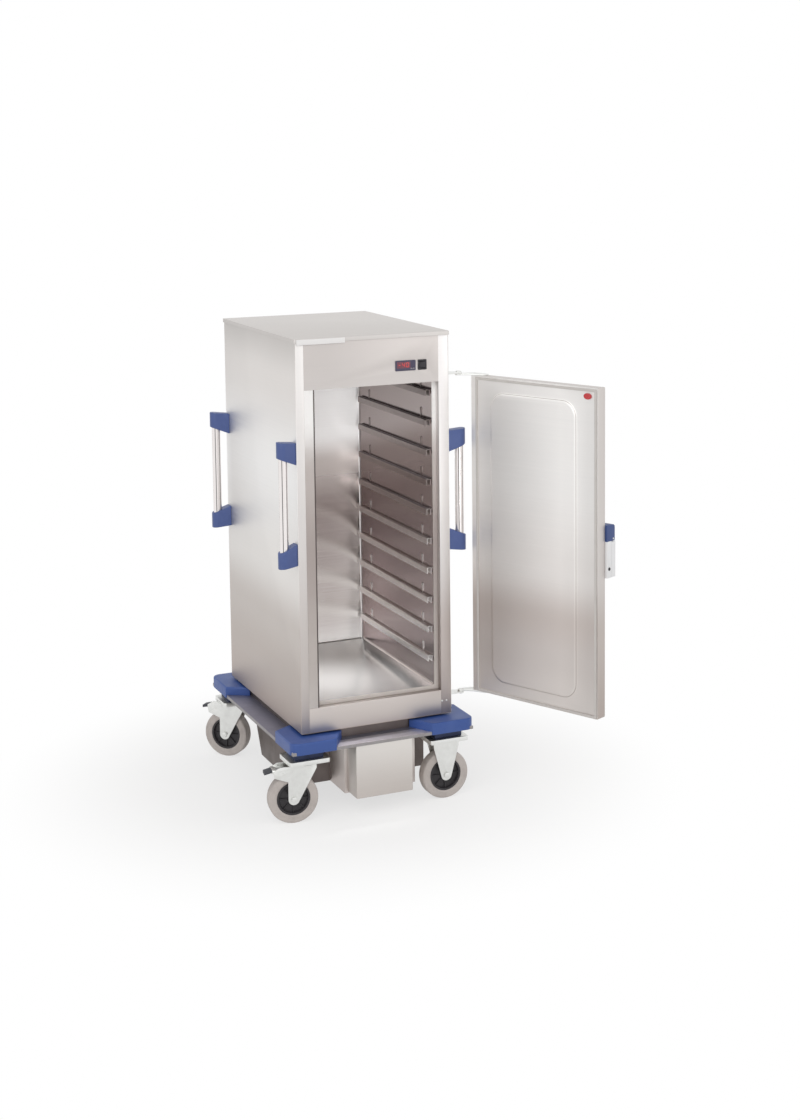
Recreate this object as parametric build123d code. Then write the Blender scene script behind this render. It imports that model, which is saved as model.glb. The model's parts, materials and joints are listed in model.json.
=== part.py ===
from build123d import *
import os
from math import acos, atan2, cos, degrees, hypot, pi, radians, sin, tan

# Refrigerated banquet cart for 600 x 400 mm trays.
# Millimetres, +Z up, floor at Z = 0, X and Y zero in the middle of the cabinet, front towards -Y.
# The cart is drawn as it stands in the photograph, with its door open.

# Overall sizes
cabinet_width = 518.0
cabinet_depth = 710.0
cabinet_height = 1253.0
platform_side_margin = 51.0
platform_end_margin = 60.0

# Heights of the base, from the floor up
wheel_diameter = 160.0
caster_height = 211.0
spacer_height = 36.0
platform_sheet = 3.0
platform_flange = 10.0
plinth_height = 35.0
plinth_inset = 24.0

# Sheet metal and walls
sheet = 1.5
liner_sheet = 1.0
wall_side = 49.0
wall_back = 59.0
floor_rise = 92.0
lid_skirt = 13.0
lid_gap = 1.5

# Front frame
sill_height = 79.0
header_height = 161.0
post_left = 28.0
post_right = 35.0
catch_jamb = 34.0
recess_depth = 21.0
jamb_plate = 4.0
ceiling_rise = 14.0

# Evaporator pocket in the ceiling
pocket_side_gap = 30.0
pocket_front_gap = 70.0
pocket_rear_gap = 96.0
pocket_height = 99.0

# Tray rails
rail_count = 10
rail_bottom_rise = 96.0
rail_top_gap = 45.0
rail_ledge = 14.0
rail_lip = 20.0
rail_sheet = 1.5
rail_wall_gap = 0.2
rail_front_gap = 14.0
rail_rear_gap = 21.0
rail_tab_rise = 32.0
rail_tab_width = 9.0
rail_tab_front = 70.0
rail_tab_rear = 73.0
stud_rise = 26.0
stud_neck = 5.0
stud_head = 9.0
stud_head_thickness = 1.8
stud_clearance = 0.2

# Door, drawn closed and then turned open about its hinge axis
door_free_inset = 22.5
door_header_overlap = 13.5
door_thickness = 40.0
door_sheet = 1.0
door_seal_gap = 4.2
door_sill_overlap = 10.5
hinge_side_offset = 42.5
hinge_back_offset = 15.5
hinge_edge_distance = 37.0
door_open_angle = 115.0
panel_rise = 5.0
panel_side_margin = 83.0
panel_end_margin = 50.0
panel_radius = 50.0
panel_wall = 1.0
gasket_width = 8.0
gasket_thickness = 3.9
gasket_inset = 3.0
gasket_hinge_inset = 19.0
badge_length = 29.0
badge_height = 19.5
badge_thickness = 4.0
badge_edge_distance = 37.0
badge_top_distance = 27.0

# Door hinges
hinge_plate = 5.0
hinge_gap = 0.3
hinge_pin_diameter = 12.0
hinge_pin_clearance = 0.06
hinge_knuckle = 22.0
hinge_arm_reach = 46.0
hinge_arm_width = 24.0
hinge_arm_inset = 8.0
hinge_corner_gap = 2.0
bracket_flange = 3.0
bracket_flange_height = 46.0
bracket_flange_length = 60.0
pin_head_diameter = 17.0
pin_head_height = 3.0

# Door latch
latch_bottom = 794.0
latch_housing_length = 115.0
latch_housing_depth = 22.0
latch_block_height = 51.0
latch_block_depth = 40.0
latch_width = 34.0
latch_overhang = 7.0
latch_pin = 6.0
latch_pin_clearance = 0.06
latch_pin_rise = 6.0
latch_pin_inset = 7.0
lever_thickness = 24.0
lever_gap = 1.0
lever_top_gap = 3.5
lever_neck = 12.0
lever_neck_inset = 7.0
lever_neck_clearance = 0.5
lock_diameter = 10.0
lock_length = 16.0
lock_proud = 1.5
lock_clearance = 0.06
lock_rise = 28.0

# Push handles
handle_reach = 41.0
handle_inset = 13.0
handle_bottom = 820.0
handle_length = 400.0
grip_diameter = 28.0
block_round = 20.0
block_root_inner = 25.0
block_root_outer = 10.0
block_height = 75.0
block_slant = 25.0
block_end_drop = 6.0
grip_socket = 20.0

# Corner bumpers
bumper_height = 28.0
bumper_proud = 3.0
bumper_radius = 28.0
bumper_edge_radius = 5.0
bumper_front_arm = 148.0
bumper_front_taper = 48.0
bumper_side_arm = 160.0
bumper_side_taper = 45.0
bumper_plinth_gap = 5.0

# Casters
swivel_inset = 67.0
fixed_inset = 74.0
caster_end_inset = 77.0
caster_plate_length = 135.0
caster_plate_width = 110.0
caster_plate_sheet = 4.0
caster_plate_rim = 14.0
spacer_length = 96.0
spacer_width = 84.0
wheel_width = 38.0
tyre_thickness = 26.0
tyre_round = 8.0
hub_width = 44.0
hub_web = 16.0
hub_boss = 34.0
axle_diameter = 12.0
axle_clearance = 0.05
axle_head = 19.0
axle_head_height = 6.0
fork_sheet = 3.5
fork_gap = 1.0
fork_foot = 18.0
fixed_fork_top = 47.0
fixed_fork_shoulder = 44.0
fixed_shoulder_drop = 22.0
caster_trail = 42.0
king_pin = 16.0
king_pin_clearance = 0.05
race_diameter = 66.0
race_height = 9.0
race_gap = 0.4
crown_sheet = 5.0
crown_front = 32.0
crown_rear = 40.0
fork_shoulder_rise = 58.0
fork_tail_rise = 74.0
fork_tail_inset = 30.0
front_left_turn = 8.0
rear_left_turn = 45.0
pedal_reach = 133.0
pedal_length = 66.0
pedal_width = 22.0
pedal_thickness = 9.0
pedal_pin = 8.0
pedal_pin_drop = 16.0
pedal_heel = 8.0
pedal_pin_clearance = 0.06
pedal_side_gap = 0.4

# Control panel on the header
control_side_gap = 41.0
controller_width = 69.0
controller_height = 33.0
controller_bottom_rise = 41.0
bezel_thickness = 2.0
controller_body_inset = 4.0
controller_depth = 48.0
window_width = 46.0
window_height = 20.0
window_depth = 1.0
key_width = 6.0
key_height = 4.0
key_gap = 2.0
key_depth = 6.0
key_proud = 1.0
key_clearance = 0.3
rocker_width = 30.0
rocker_height = 33.0
rocker_gap = 8.0
rocker_frame = 3.5
rocker_depth = 30.0
rocker_clearance = 0.4
rocker_tilt = 8.0
control_box_length = 150.0
control_box_height = 80.0
control_box_depth = 58.0

# Blank name plate
plate_length = 160.0
plate_height = 17.0
plate_thickness = 1.0
plate_side_inset = 5.0

# Machine compartment
cover_side_step = 10.0
cover_depth = 80.0
cover_clearance = 67.0
cover_front_gap = 1.0
cover_air_margin = 9.0
housing_side_inset = 32.0
housing_clearance = 62.0
housing_rear_low_inset = 215.0
housing_rear_high_inset = 117.0
nose_length = 133.0
nose_swivel_gap = 136.0
nose_fixed_gap = 98.0
vent_count = 7
vent_length = 150.0
vent_height = 8.0
vent_pitch = 18.0
condenser_depth = 40.0
condenser_gap = 8.0
condenser_edge = 9.0
condenser_fin_pitch = 8.0
condenser_fin = 1.6
condenser_tube = 8.0
condenser_rows = 5
fan_diameter = 146.0
fan_depth = 22.0
fan_blades = 5
fan_hub = 44.0
fan_shaft = 8.0
fan_clearance = 0.05
fan_gap = 12.0
compressor_diameter = 150.0
compressor_height = 150.0
compressor_foot = 12.0
compressor_foot_length = 180.0
compressor_foot_width = 140.0
compressor_round = 24.0
compressor_stand = 70.0
compressor_stand_rise = 30.0
terminal_box_reach = 22.0
terminal_box_width = 44.0
terminal_box_rise = 60.0
terminal_box_height = 55.0
evaporator_length = 170.0
evaporator_side_gap = 20.0
evaporator_rear_gap = 12.0
evaporator_height = 68.0
evaporator_fins = 40
ceiling_panel_sheet = 1.5
ceiling_panel_margin = 15.0
evaporator_fan_diameter = 130.0
fan_motor_diameter = 50.0
fan_motor_length = 26.0
fan_motor_gap = 14.0
fan_bracket_width = 18.0
fan_bracket_sheet = 2.0

# Planes worked out from the sizes above
side = cabinet_width / 2
front = -cabinet_depth / 2
back = cabinet_depth / 2
platform_under = caster_height + spacer_height
platform_top = platform_under + platform_sheet
cabinet_bottom = platform_top + plinth_height
cabinet_top = cabinet_bottom + cabinet_height
shell_top = cabinet_top - sheet
platform_x = side + platform_side_margin
platform_y = back + platform_end_margin
inner_x = side - wall_side
inner_back = back - wall_back
floor_z = cabinet_bottom + floor_rise
sill_top = cabinet_bottom + sill_height
header_bottom = cabinet_top - header_height
ceiling_z = header_bottom + ceiling_rise
post_left_x = -side + post_left
post_right_x = side - post_right
catch_x = post_left_x + catch_jamb
recess_y = front + recess_depth
liner_front = recess_y + jamb_plate
wheel_radius = wheel_diameter / 2
hinge_x = side + hinge_side_offset
hinge_y = front + hinge_back_offset
door_bottom = sill_top - door_sill_overlap
door_top = header_bottom + door_header_overlap
door_hinge_x = hinge_x - hinge_edge_distance
door_free_x = -side + door_free_inset
door_inner_y = front - door_seal_gap
door_outer_y = door_inner_y - door_thickness
pocket_x = inner_x - pocket_side_gap
pocket_front = liner_front + pocket_front_gap
pocket_back = inner_back - pocket_rear_gap
swivel_side = platform_x - swivel_inset
fixed_side = platform_x - fixed_inset
caster_end = platform_y - caster_end_inset


def block(x0, x1, y0, y1, z0, z1):
    """A box between two corners."""
    size = (x1 - x0, y1 - y0, z1 - z0)
    middle = ((x0 + x1) / 2, (y0 + y1) / 2, (z0 + z1) / 2)
    return Pos(*middle) * Box(*size)


def rod(x, y, z0, z1, diameter):
    """An upright cylinder."""
    return Pos(x, y, (z0 + z1) / 2) * Cylinder(diameter / 2, z1 - z0)


def rod_x(x0, x1, y, z, diameter):
    """A cylinder along X."""
    return Pos((x0 + x1) / 2, y, z) * Rot(0, 90, 0) * Cylinder(diameter / 2, x1 - x0)


def rod_y(x, y0, y1, z, diameter):
    """A cylinder along Y."""
    return Pos(x, (y0 + y1) / 2, z) * Rot(90, 0, 0) * Cylinder(diameter / 2, y1 - y0)


def prism(points, z0, z1):
    """An upright prism on a polygon in plan."""
    outline = make_face(Polyline(*points, close=True))
    return Pos(0, 0, z0) * extrude(outline, amount=z1 - z0, dir=(0, 0, 1))


def side_prism(points, y0, y1):
    """A prism along Y on a polygon given as X and Z."""
    plane = Plane(origin=(0, y1, 0), x_dir=(1, 0, 0), z_dir=(0, -1, 0))
    outline = make_face(plane * Polyline(*points, close=True))
    return extrude(outline, amount=y1 - y0, dir=(0, -1, 0))


def end_prism(points, x0, x1):
    """A prism along X on a polygon given as Y and Z."""
    plane = Plane(origin=(x0, 0, 0), x_dir=(0, 1, 0), z_dir=(1, 0, 0))
    outline = make_face(plane * Polyline(*points, close=True))
    return extrude(outline, amount=x1 - x0, dir=(1, 0, 0))


def round_ended(corners, centre, radius):
    """An outline through corners, listed clockwise, that closes in a round about a centre."""
    def tangent(corner, hand):
        dx = corner[0] - centre[0]
        dy = corner[1] - centre[1]
        return atan2(dy, dx) + hand * acos(radius / hypot(dx, dy))

    def on_round(angle):
        return (centre[0] + radius * cos(angle), centre[1] + radius * sin(angle))

    start = tangent(corners[-1], -1)
    end = tangent(corners[0], 1)
    if end > start:
        end -= 2 * pi
    arc = ThreePointArc(on_round(start), on_round((start + end) / 2), on_round(end))
    return Polyline(on_round(end), *corners, on_round(start)) + arc


def upright_edges(shape):
    return shape.edges().filter_by(Axis.Z)


def join(shapes):
    """Separate solids kept side by side in one sub-part."""
    return Compound(children=[solid for shape in shapes for solid in shape.solids()])


def turned(shape, x, y, angle):
    """A shape turned about an upright axis."""
    return Pos(x, y, 0) * Rot(0, 0, angle) * Pos(-x, -y, 0) * shape


def mirrored(shape, plane=Plane.YZ):
    return shape.mirror(plane)


def save(name, shape):
    solids = shape.solids()
    whole = solids[0] if len(solids) == 1 else Compound(children=list(solids))
    export_step(whole, f"parts/{name}.step")


# Cabinet shell, open at the front and at the top
def cabinet_shell():
    outer = block(-side, side, front, back, cabinet_bottom, shell_top)
    inner = block(-side + sheet, side - sheet, front - 1, back - sheet,
                  cabinet_bottom + sheet, shell_top + 1)
    return outer - inner


# Lid with a skirt that hangs over the shell
def cabinet_lid():
    overhang = lid_gap + sheet
    outer = block(-side - overhang, side + overhang, front - overhang, back + overhang,
                  cabinet_top - lid_skirt, cabinet_top)
    outer = fillet(outer.faces().sort_by(Axis.Z)[-1].edges(), sheet * 0.8)
    inner = block(-side - lid_gap, side + lid_gap, front - lid_gap, back + lid_gap,
                  cabinet_top - lid_skirt - 1, shell_top)
    return outer - inner


# Inner liner: the tray chamber and the evaporator pocket above it
def liner_space(grow):
    chamber = block(-inner_x - grow, inner_x + grow, liner_front, inner_back + grow,
                    floor_z - grow, ceiling_z + grow)
    pocket = block(-pocket_x - grow, pocket_x + grow, pocket_front - grow, pocket_back + grow,
                   ceiling_z, ceiling_z + pocket_height + grow)
    return chamber + pocket


def cabinet_liner():
    mouth = block(-inner_x, inner_x, liner_front - 1, liner_front + 1, floor_z, ceiling_z)
    return liner_space(liner_sheet) - liner_space(0) - mouth


# Places of the controller and the rocker switch on the header
rocker_right = post_right_x - control_side_gap
rocker_left = rocker_right - rocker_width
controller_right = rocker_left - rocker_gap
controller_left = controller_right - controller_width
controller_bottom = header_bottom + controller_bottom_rise
controller_top = controller_bottom + controller_height
rocker_bottom = controller_bottom + (controller_height - rocker_height) / 2
rocker_top = rocker_bottom + rocker_height


# Foam between shell and liner, with a recess for the electrical parts behind the header
def cabinet_insulation():
    body = block(-side + sheet, side - sheet, liner_front, back - sheet,
                 cabinet_bottom + sheet, shell_top)
    box_left = controller_left - 15
    box_bottom = controller_bottom - 22
    box = block(box_left, box_left + control_box_length, liner_front - 1, liner_front + control_box_depth,
                box_bottom, box_bottom + control_box_height)
    return body - liner_space(liner_sheet) - box


# Header, sill and posts are folded sheet, open at the back
def folded_panel(x0, x1, z0, z1, depth, top_open, bottom_open):
    outer = block(x0, x1, front, front + depth, z0, z1)
    inner = block(x0 + sheet, x1 - sheet, front + sheet, front + depth + 1,
                  z0 - 1 if bottom_open else z0 + sheet, z1 + 1 if top_open else z1 - sheet)
    return outer - inner


def header_panel():
    panel = folded_panel(post_left_x, post_right_x, header_bottom, shell_top, recess_depth, True, False)
    inset = controller_body_inset
    panel -= block(controller_left + inset, controller_right - inset, front - 1, front + 5,
                   controller_bottom + inset, controller_top - inset)
    panel -= block(rocker_left + rocker_frame, rocker_right - rocker_frame, front - 1, front + 5,
                   rocker_bottom + rocker_frame, rocker_top - rocker_frame)
    return panel


def sill_panel():
    return folded_panel(post_left_x, post_right_x, cabinet_bottom + sheet, sill_top, recess_depth,
                        False, True)


def front_posts():
    depth = liner_front - front
    left = folded_panel(-side + sheet, post_left_x, cabinet_bottom + sheet, shell_top, depth, True, True)
    right = folded_panel(post_right_x, side - sheet, cabinet_bottom + sheet, shell_top, depth, True, True)
    return join([left, right])


# Plastic frame round the opening, with the wide catch side on the left
def jamb_frame():
    ring = block(post_left_x, post_right_x, recess_y, liner_front, sill_top, ceiling_z)
    ring -= block(catch_x, inner_x, recess_y - 1, liner_front + 1, floor_z, header_bottom)
    catch = block(post_left_x, catch_x, front, recess_y, sill_top, header_bottom)
    return ring + catch


# Blank plate on the lid's front edge
def name_plate():
    face = front - lid_gap - sheet
    left = -side + plate_side_inset
    plate = block(left, left + plate_length, face - plate_thickness, face,
                  cabinet_top - 2 - plate_height, cabinet_top - 2)
    return fillet(plate.edges().filter_by(Axis.Y), 1.5)


# Tray rails: a ledge with a lip, hung by two tabs on wall studs
rail_y0 = liner_front + rail_front_gap
rail_y1 = inner_back - rail_rear_gap
tab_y = (rail_y0 + rail_tab_front, rail_y1 - rail_tab_rear)
rail_wall_x = inner_x - rail_wall_gap


def rail_tops():
    lowest = floor_z + rail_bottom_rise
    pitch = (ceiling_z - rail_top_gap - lowest) / (rail_count - 1)
    return [lowest + n * pitch for n in range(rail_count)]


def tray_rail(z):
    x1 = rail_wall_x
    x0 = inner_x - rail_ledge
    ledge = block(x0, x1, rail_y0, rail_y1, z - rail_sheet, z)
    lip = block(x0, x0 + rail_sheet, rail_y0, rail_y1, z - rail_lip, z)
    flange = block(x1 - rail_sheet, x1, rail_y0, rail_y1, z - rail_lip, z)
    rail = ledge + lip + flange
    for y in tab_y:
        half = rail_tab_width / 2
        tab = block(x1 - rail_sheet, x1, y - half, y + half, z, z + rail_tab_rise)
        hole = rod_x(x1 - rail_sheet - 1, x1 + 1, y, z + stud_rise, stud_neck + 2 * stud_clearance)
        rail += tab - hole
    return rail


def rail_stud(y, z):
    head_x = rail_wall_x - rail_sheet - stud_clearance
    neck = rod_x(head_x, inner_x, y, z, stud_neck)
    head = rod_x(head_x - stud_head_thickness, head_x, y, z, stud_head)
    return neck + head


def tray_rails():
    return join([tray_rail(z) for z in rail_tops()])


def rail_studs():
    right = [rail_stud(y, z + stud_rise) for z in rail_tops() for y in tab_y]
    return join(right + [mirrored(stud) for stud in right])


# Platform: folded sheet with a raised plinth and a spacer over each caster
def platform():
    x, y = platform_x, platform_y
    body = block(-x, x, -y, y, platform_top - platform_flange, platform_top)
    t = platform_sheet
    body -= block(-x + t, x - t, -y + t, y - t, platform_top - platform_flange - 1, platform_under)
    px = side - plinth_inset
    py = back - plinth_inset
    body += block(-px, px, -py, py, platform_under, cabinet_bottom)
    body -= block(-px + t, px - t, -py + t, py - t, platform_under - 1, cabinet_bottom - t)
    for cx in (-swivel_side, fixed_side):
        for cy in (-caster_end, caster_end):
            body += block(cx - spacer_length / 2, cx + spacer_length / 2, cy - spacer_width / 2,
                          cy + spacer_width / 2, caster_height, platform_under + t / 2)
    return body


# Corner bumpers stand on the platform and lap over its edge
def corner_bumper(sx, sy):
    x1 = platform_x + bumper_proud
    y1 = platform_y + bumper_proud
    x0 = side - plinth_inset + bumper_plinth_gap
    y0 = back - plinth_inset + bumper_plinth_gap
    outline = [
        (x1, y1),
        (x1 - bumper_front_arm, y1),
        (x1 - bumper_front_arm - bumper_front_taper, y0),
        (x0, y0),
        (x0, y1 - bumper_side_arm - bumper_side_taper),
        (x1, y1 - bumper_side_arm),
    ]
    z0 = platform_top - platform_flange
    z1 = platform_top + bumper_height
    pad = prism(outline, z0, z1)
    corner = upright_edges(pad).group_by(Axis.Y)[-1].sort_by(Axis.X)[-1]
    pad = fillet(corner, bumper_radius)
    pad = fillet(pad.faces().sort_by(Axis.Z)[-1].edges(), bumper_edge_radius)
    pad -= block(0, platform_x, 0, platform_y, z0 - 1, platform_top)
    if sx < 0:
        pad = mirrored(pad, Plane.YZ)
    if sy < 0:
        pad = mirrored(pad, Plane.XZ)
    return pad


# Push handles: a tube between two moulded blocks
handle_x = side + handle_reach
handle_y = back - handle_inset
handle_top = handle_bottom + handle_length


def handle_block(z_end, direction):
    """The block at one end of a handle; direction is +1 when its slanted face looks up."""
    far = handle_x + block_round + 1
    z_face = z_end + direction * block_height
    root = [(side, handle_y - block_root_inner), (side, handle_y + block_root_outer)]
    plan = make_face(round_ended(root, (handle_x, handle_y), block_round))
    solid = Pos(0, 0, min(z_end, z_face)) * extrude(plan, amount=block_height, dir=(0, 0, 1))
    beyond = z_face + direction * 5
    slant_end = z_face - direction * block_slant
    slant = [(side, z_face), (far, slant_end), (far, beyond), (side, beyond)]
    outside = z_end - direction * 5
    drop_start = z_end + direction * block_end_drop
    drop = [(side, drop_start), (far, z_end), (far, outside), (side, outside)]
    for wedge in (slant, drop):
        solid -= side_prism(wedge, handle_y - block_root_inner - 1, handle_y + block_round + 1)
    socket_end = z_face - direction * (block_slant + grip_socket)
    return solid - rod(handle_x, handle_y, min(socket_end, beyond), max(socket_end, beyond), grip_diameter)


def handle_grip():
    z0 = handle_bottom + block_height - block_slant - grip_socket
    z1 = handle_top - block_height + block_slant + grip_socket
    return rod(handle_x, handle_y, z0, z1, grip_diameter)


def on_four_corners(shapes):
    right = shapes + [mirrored(shape, Plane.XZ) for shape in shapes]
    return right + [mirrored(shape, Plane.YZ) for shape in right]


# Wheel: a tyre on a plastic hub, on a bolt through the fork
def tyre():
    r1 = wheel_radius
    r0 = wheel_radius - tyre_thickness
    w = wheel_width / 2
    ring = Cylinder(r1, 2 * w) - Cylinder(r0, 2 * w + 2)
    outer_edges = ring.edges().filter_by(GeomType.CIRCLE).filter_by(lambda e: e.radius > r1 - 1)
    return fillet(outer_edges, tyre_round)


def hub():
    r1 = wheel_radius - tyre_thickness
    rim = Cylinder(r1, wheel_width) - Cylinder(r1 - 7, wheel_width + 2)
    web = Cylinder(r1 - 5, hub_web)
    boss = Cylinder(hub_boss / 2, hub_width)
    bore = Cylinder(axle_diameter / 2 + axle_clearance, hub_width + 2)
    return rim + web + boss - bore


leg_inner = hub_width / 2 + fork_gap
leg_outer = leg_inner + fork_sheet


def wheel_at(shape, x, y, turn):
    """Stand a wheel shape up, axle level, rolling direction turned from X."""
    return Pos(x, y, wheel_radius) * Rot(0, 0, turn) * Rot(90, 0, 0) * shape


def axle():
    half = leg_outer + axle_head_height
    bolt = Cylinder(axle_diameter / 2, 2 * half)
    for s in (-1, 1):
        head = extrude(RegularPolygon(axle_head / 2, 6), amount=axle_head_height)
        bolt += Pos(0, 0, leg_outer if s > 0 else -leg_outer - axle_head_height) * head
    return bolt


def leg_plate(corners, x_axle, y0):
    """One leg of a fork, with a round foot about the axle."""
    plane = Plane(origin=(0, y0 + fork_sheet, 0), x_dir=(1, 0, 0), z_dir=(0, -1, 0))
    outline = make_face(plane * round_ended(corners, (x_axle, wheel_radius), fork_foot))
    return extrude(outline, amount=fork_sheet, dir=(0, -1, 0))


crown_top = caster_height - caster_plate_rim - race_height - race_gap
crown_bottom = crown_top - crown_sheet
pedal_pin_x = -(pedal_reach - pedal_length + pedal_heel)
pedal_pin_z = crown_top - pedal_pin_drop


def swivel_fork():
    """Fork of a swivel caster; the swivel axis is Z through the origin and the wheel trails to -X."""
    x_axle = -caster_trail
    tail = -(pedal_reach - fork_tail_inset)
    legs = [
        (x_axle - fork_foot, wheel_radius + fork_shoulder_rise),
        (tail, wheel_radius + fork_tail_rise),
        (tail - 4, pedal_pin_z + 4),
        (pedal_pin_x - 10, crown_top),
        (crown_front, crown_top),
        (crown_front, crown_bottom - 6),
    ]
    body = leg_plate(legs, x_axle, leg_inner) + leg_plate(legs, x_axle, -leg_outer)
    body += block(-crown_rear, crown_front, -leg_outer, leg_outer, crown_bottom, crown_top)
    body += rod(0, 0, crown_bottom, crown_top, race_diameter)
    body -= rod(0, 0, crown_bottom - 1, crown_top + 1, king_pin + 2 * king_pin_clearance)
    body -= rod_y(x_axle, -leg_outer - 1, leg_outer + 1, wheel_radius, axle_diameter)
    for s in (-1, 1):
        y0 = leg_inner if s > 0 else -leg_outer
        hole = pedal_pin + 2 * pedal_pin_clearance
        body -= rod_y(pedal_pin_x, y0 - 1, y0 + fork_sheet + 1, pedal_pin_z, hole)
    return body


def pedal():
    """Brake pedal between the fork legs, on its own cross pin."""
    half = leg_inner - pedal_side_gap
    x1 = pedal_pin_x + 9
    x0 = -pedal_reach
    arm_z = pedal_pin_z
    tread_x = -(pedal_reach - 24)
    profile = [
        (x1, arm_z - 6),
        (x1, arm_z + 7),
        (tread_x, arm_z + 8),
        (x0, arm_z + 2),
        (x0, arm_z + 2 - pedal_thickness),
        (tread_x, arm_z - 2),
        (pedal_pin_x - 10, arm_z - 6),
    ]
    body = side_prism(profile, -half, half)
    body += rod_y(pedal_pin_x, -leg_outer, leg_outer, pedal_pin_z, pedal_pin)
    keep = block(x0 - 1, tread_x, -pedal_width / 2 - 3, pedal_width / 2 + 3, arm_z - 30, arm_z + 30)
    rest = block(tread_x, x1 + 1, -leg_outer, leg_outer, arm_z - 30, arm_z + 30)
    return body & (keep + rest)


def swivel_plate():
    z1 = caster_height
    z0 = z1 - caster_plate_rim
    plate = block(-caster_plate_length / 2, caster_plate_length / 2, -caster_plate_width / 2,
                  caster_plate_width / 2, z0, z1)
    plate = fillet(upright_edges(plate), 10)
    t = caster_plate_sheet
    hollow = block(-caster_plate_length / 2 + t, caster_plate_length / 2 - t, -caster_plate_width / 2 + t,
                   caster_plate_width / 2 - t, z0 - 1, z1 - t)
    plate -= hollow
    plate += rod(0, 0, z0 - race_height, z1 - t / 2, race_diameter)
    plate += rod(0, 0, crown_bottom - 1, z1 - t, king_pin)
    plate += rod(0, 0, crown_bottom - 5, crown_bottom - 1, king_pin + 10)
    return plate


def fixed_fork():
    """Rigid caster: the plate and the fork are one welded piece."""
    z1 = caster_height
    t = caster_plate_sheet
    z0 = z1 - caster_plate_rim
    plate = block(-caster_plate_length / 2, caster_plate_length / 2, -caster_plate_width / 2,
                  caster_plate_width / 2, z0, z1)
    plate = fillet(upright_edges(plate), 10)
    plate -= block(-caster_plate_length / 2 + t, caster_plate_length / 2 - t,
                   -caster_plate_width / 2 + t, caster_plate_width / 2 - t, z0 - 1, z1 - t)
    shoulder_z = z0 - fixed_shoulder_drop
    legs = [
        (-fixed_fork_shoulder, shoulder_z),
        (-fixed_fork_top, z1 - t),
        (fixed_fork_top, z1 - t),
        (fixed_fork_shoulder, shoulder_z),
    ]
    body = plate + leg_plate(legs, 0, leg_inner) + leg_plate(legs, 0, -leg_outer)
    body += block(-fixed_fork_top, fixed_fork_top, -leg_outer, leg_outer, z1 - 2 * t, z1 - t / 2)
    return body - rod_y(0, -leg_outer - 1, leg_outer + 1, wheel_radius, axle_diameter)


def placed(shape, x, y, turn):
    return Pos(x, y, 0) * Rot(0, 0, turn) * shape


# Each caster: its name, the side and end it stands on, and the turn of a swivel fork
swivel_casters = {
    "front_left": (-swivel_side, -caster_end, -front_left_turn),
    "rear_left": (-swivel_side, caster_end, -rear_left_turn),
}
fixed_casters = {
    "front_right": (fixed_side, -caster_end),
    "rear_right": (fixed_side, caster_end),
}


# Door pieces, all drawn closed
def door_outer_skin():
    t = door_sheet
    outer = block(door_free_x, door_hinge_x, door_outer_y, door_inner_y - t, door_bottom, door_top)
    outer = fillet(outer.faces().sort_by(Axis.Y)[0].edges(), 3)
    inner = block(door_free_x + t, door_hinge_x - t, door_outer_y + t, door_inner_y,
                  door_bottom + t, door_top - t)
    return outer - inner


def panel_outline(grow):
    """The raised inner panel, seen along Y."""
    width = door_hinge_x - door_free_x - 2 * panel_side_margin
    height = door_top - door_bottom - 2 * panel_end_margin
    middle_x = (door_free_x + door_hinge_x) / 2
    middle_z = (door_bottom + door_top) / 2
    plane = Plane(origin=(middle_x, door_inner_y, middle_z), x_dir=(1, 0, 0), z_dir=(0, 1, 0))
    return plane * RectangleRounded(width + 2 * grow, height + 2 * grow, panel_radius + grow)


def door_inner_skin():
    t = door_sheet
    skin = block(door_free_x, door_hinge_x, door_inner_y - t, door_inner_y, door_bottom, door_top)
    raised = extrude(panel_outline(0), amount=panel_rise)
    hollow = extrude(panel_outline(-panel_wall), amount=panel_rise - t)
    through = extrude(panel_outline(-panel_wall), amount=-2 * t)
    return skin + raised - hollow - through


def door_core():
    t = door_sheet
    foam = block(door_free_x + t, door_hinge_x - t, door_outer_y + t, door_inner_y - t,
                 door_bottom + t, door_top - t)
    foam += extrude(panel_outline(-panel_wall), amount=panel_rise - t)
    return foam + extrude(panel_outline(-panel_wall), amount=-t)


def door_gasket():
    """A ring on the inner skin that seals on the front frame."""
    x0 = door_free_x + gasket_inset
    x1 = door_hinge_x - gasket_hinge_inset
    z0 = door_bottom + gasket_inset - 1
    z1 = door_top - gasket_inset - 1
    y0, y1 = door_inner_y, door_inner_y + gasket_thickness
    w = gasket_width
    ring = block(x0, x1, y0, y1, z0, z1) - block(x0 + w, x1 - w, y0 - 1, y1 + 1, z0 + w, z1 - w)
    return ring


def door_badge():
    """Plain oval plug near the top of the free edge."""
    x = door_free_x + badge_edge_distance
    z = door_top - badge_top_distance
    plane = Plane(origin=(x, door_inner_y, z), x_dir=(1, 0, 0), z_dir=(0, 1, 0))
    oval = extrude(plane * Ellipse(badge_length / 2, badge_height / 2), amount=badge_thickness)
    return fillet(oval.faces().sort_by(Axis.Y)[-1].edges(), 1.2)


# Hinges: an arm on the door and a bracket on the cabinet, at the top and at the bottom
arm_top_z = door_top
arm_bottom_z = door_bottom - hinge_plate


def knuckle_plate(points, z):
    plate = prism(points, z, z + hinge_plate) + rod(hinge_x, hinge_y, z, z + hinge_plate, hinge_knuckle)
    return plate


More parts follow.
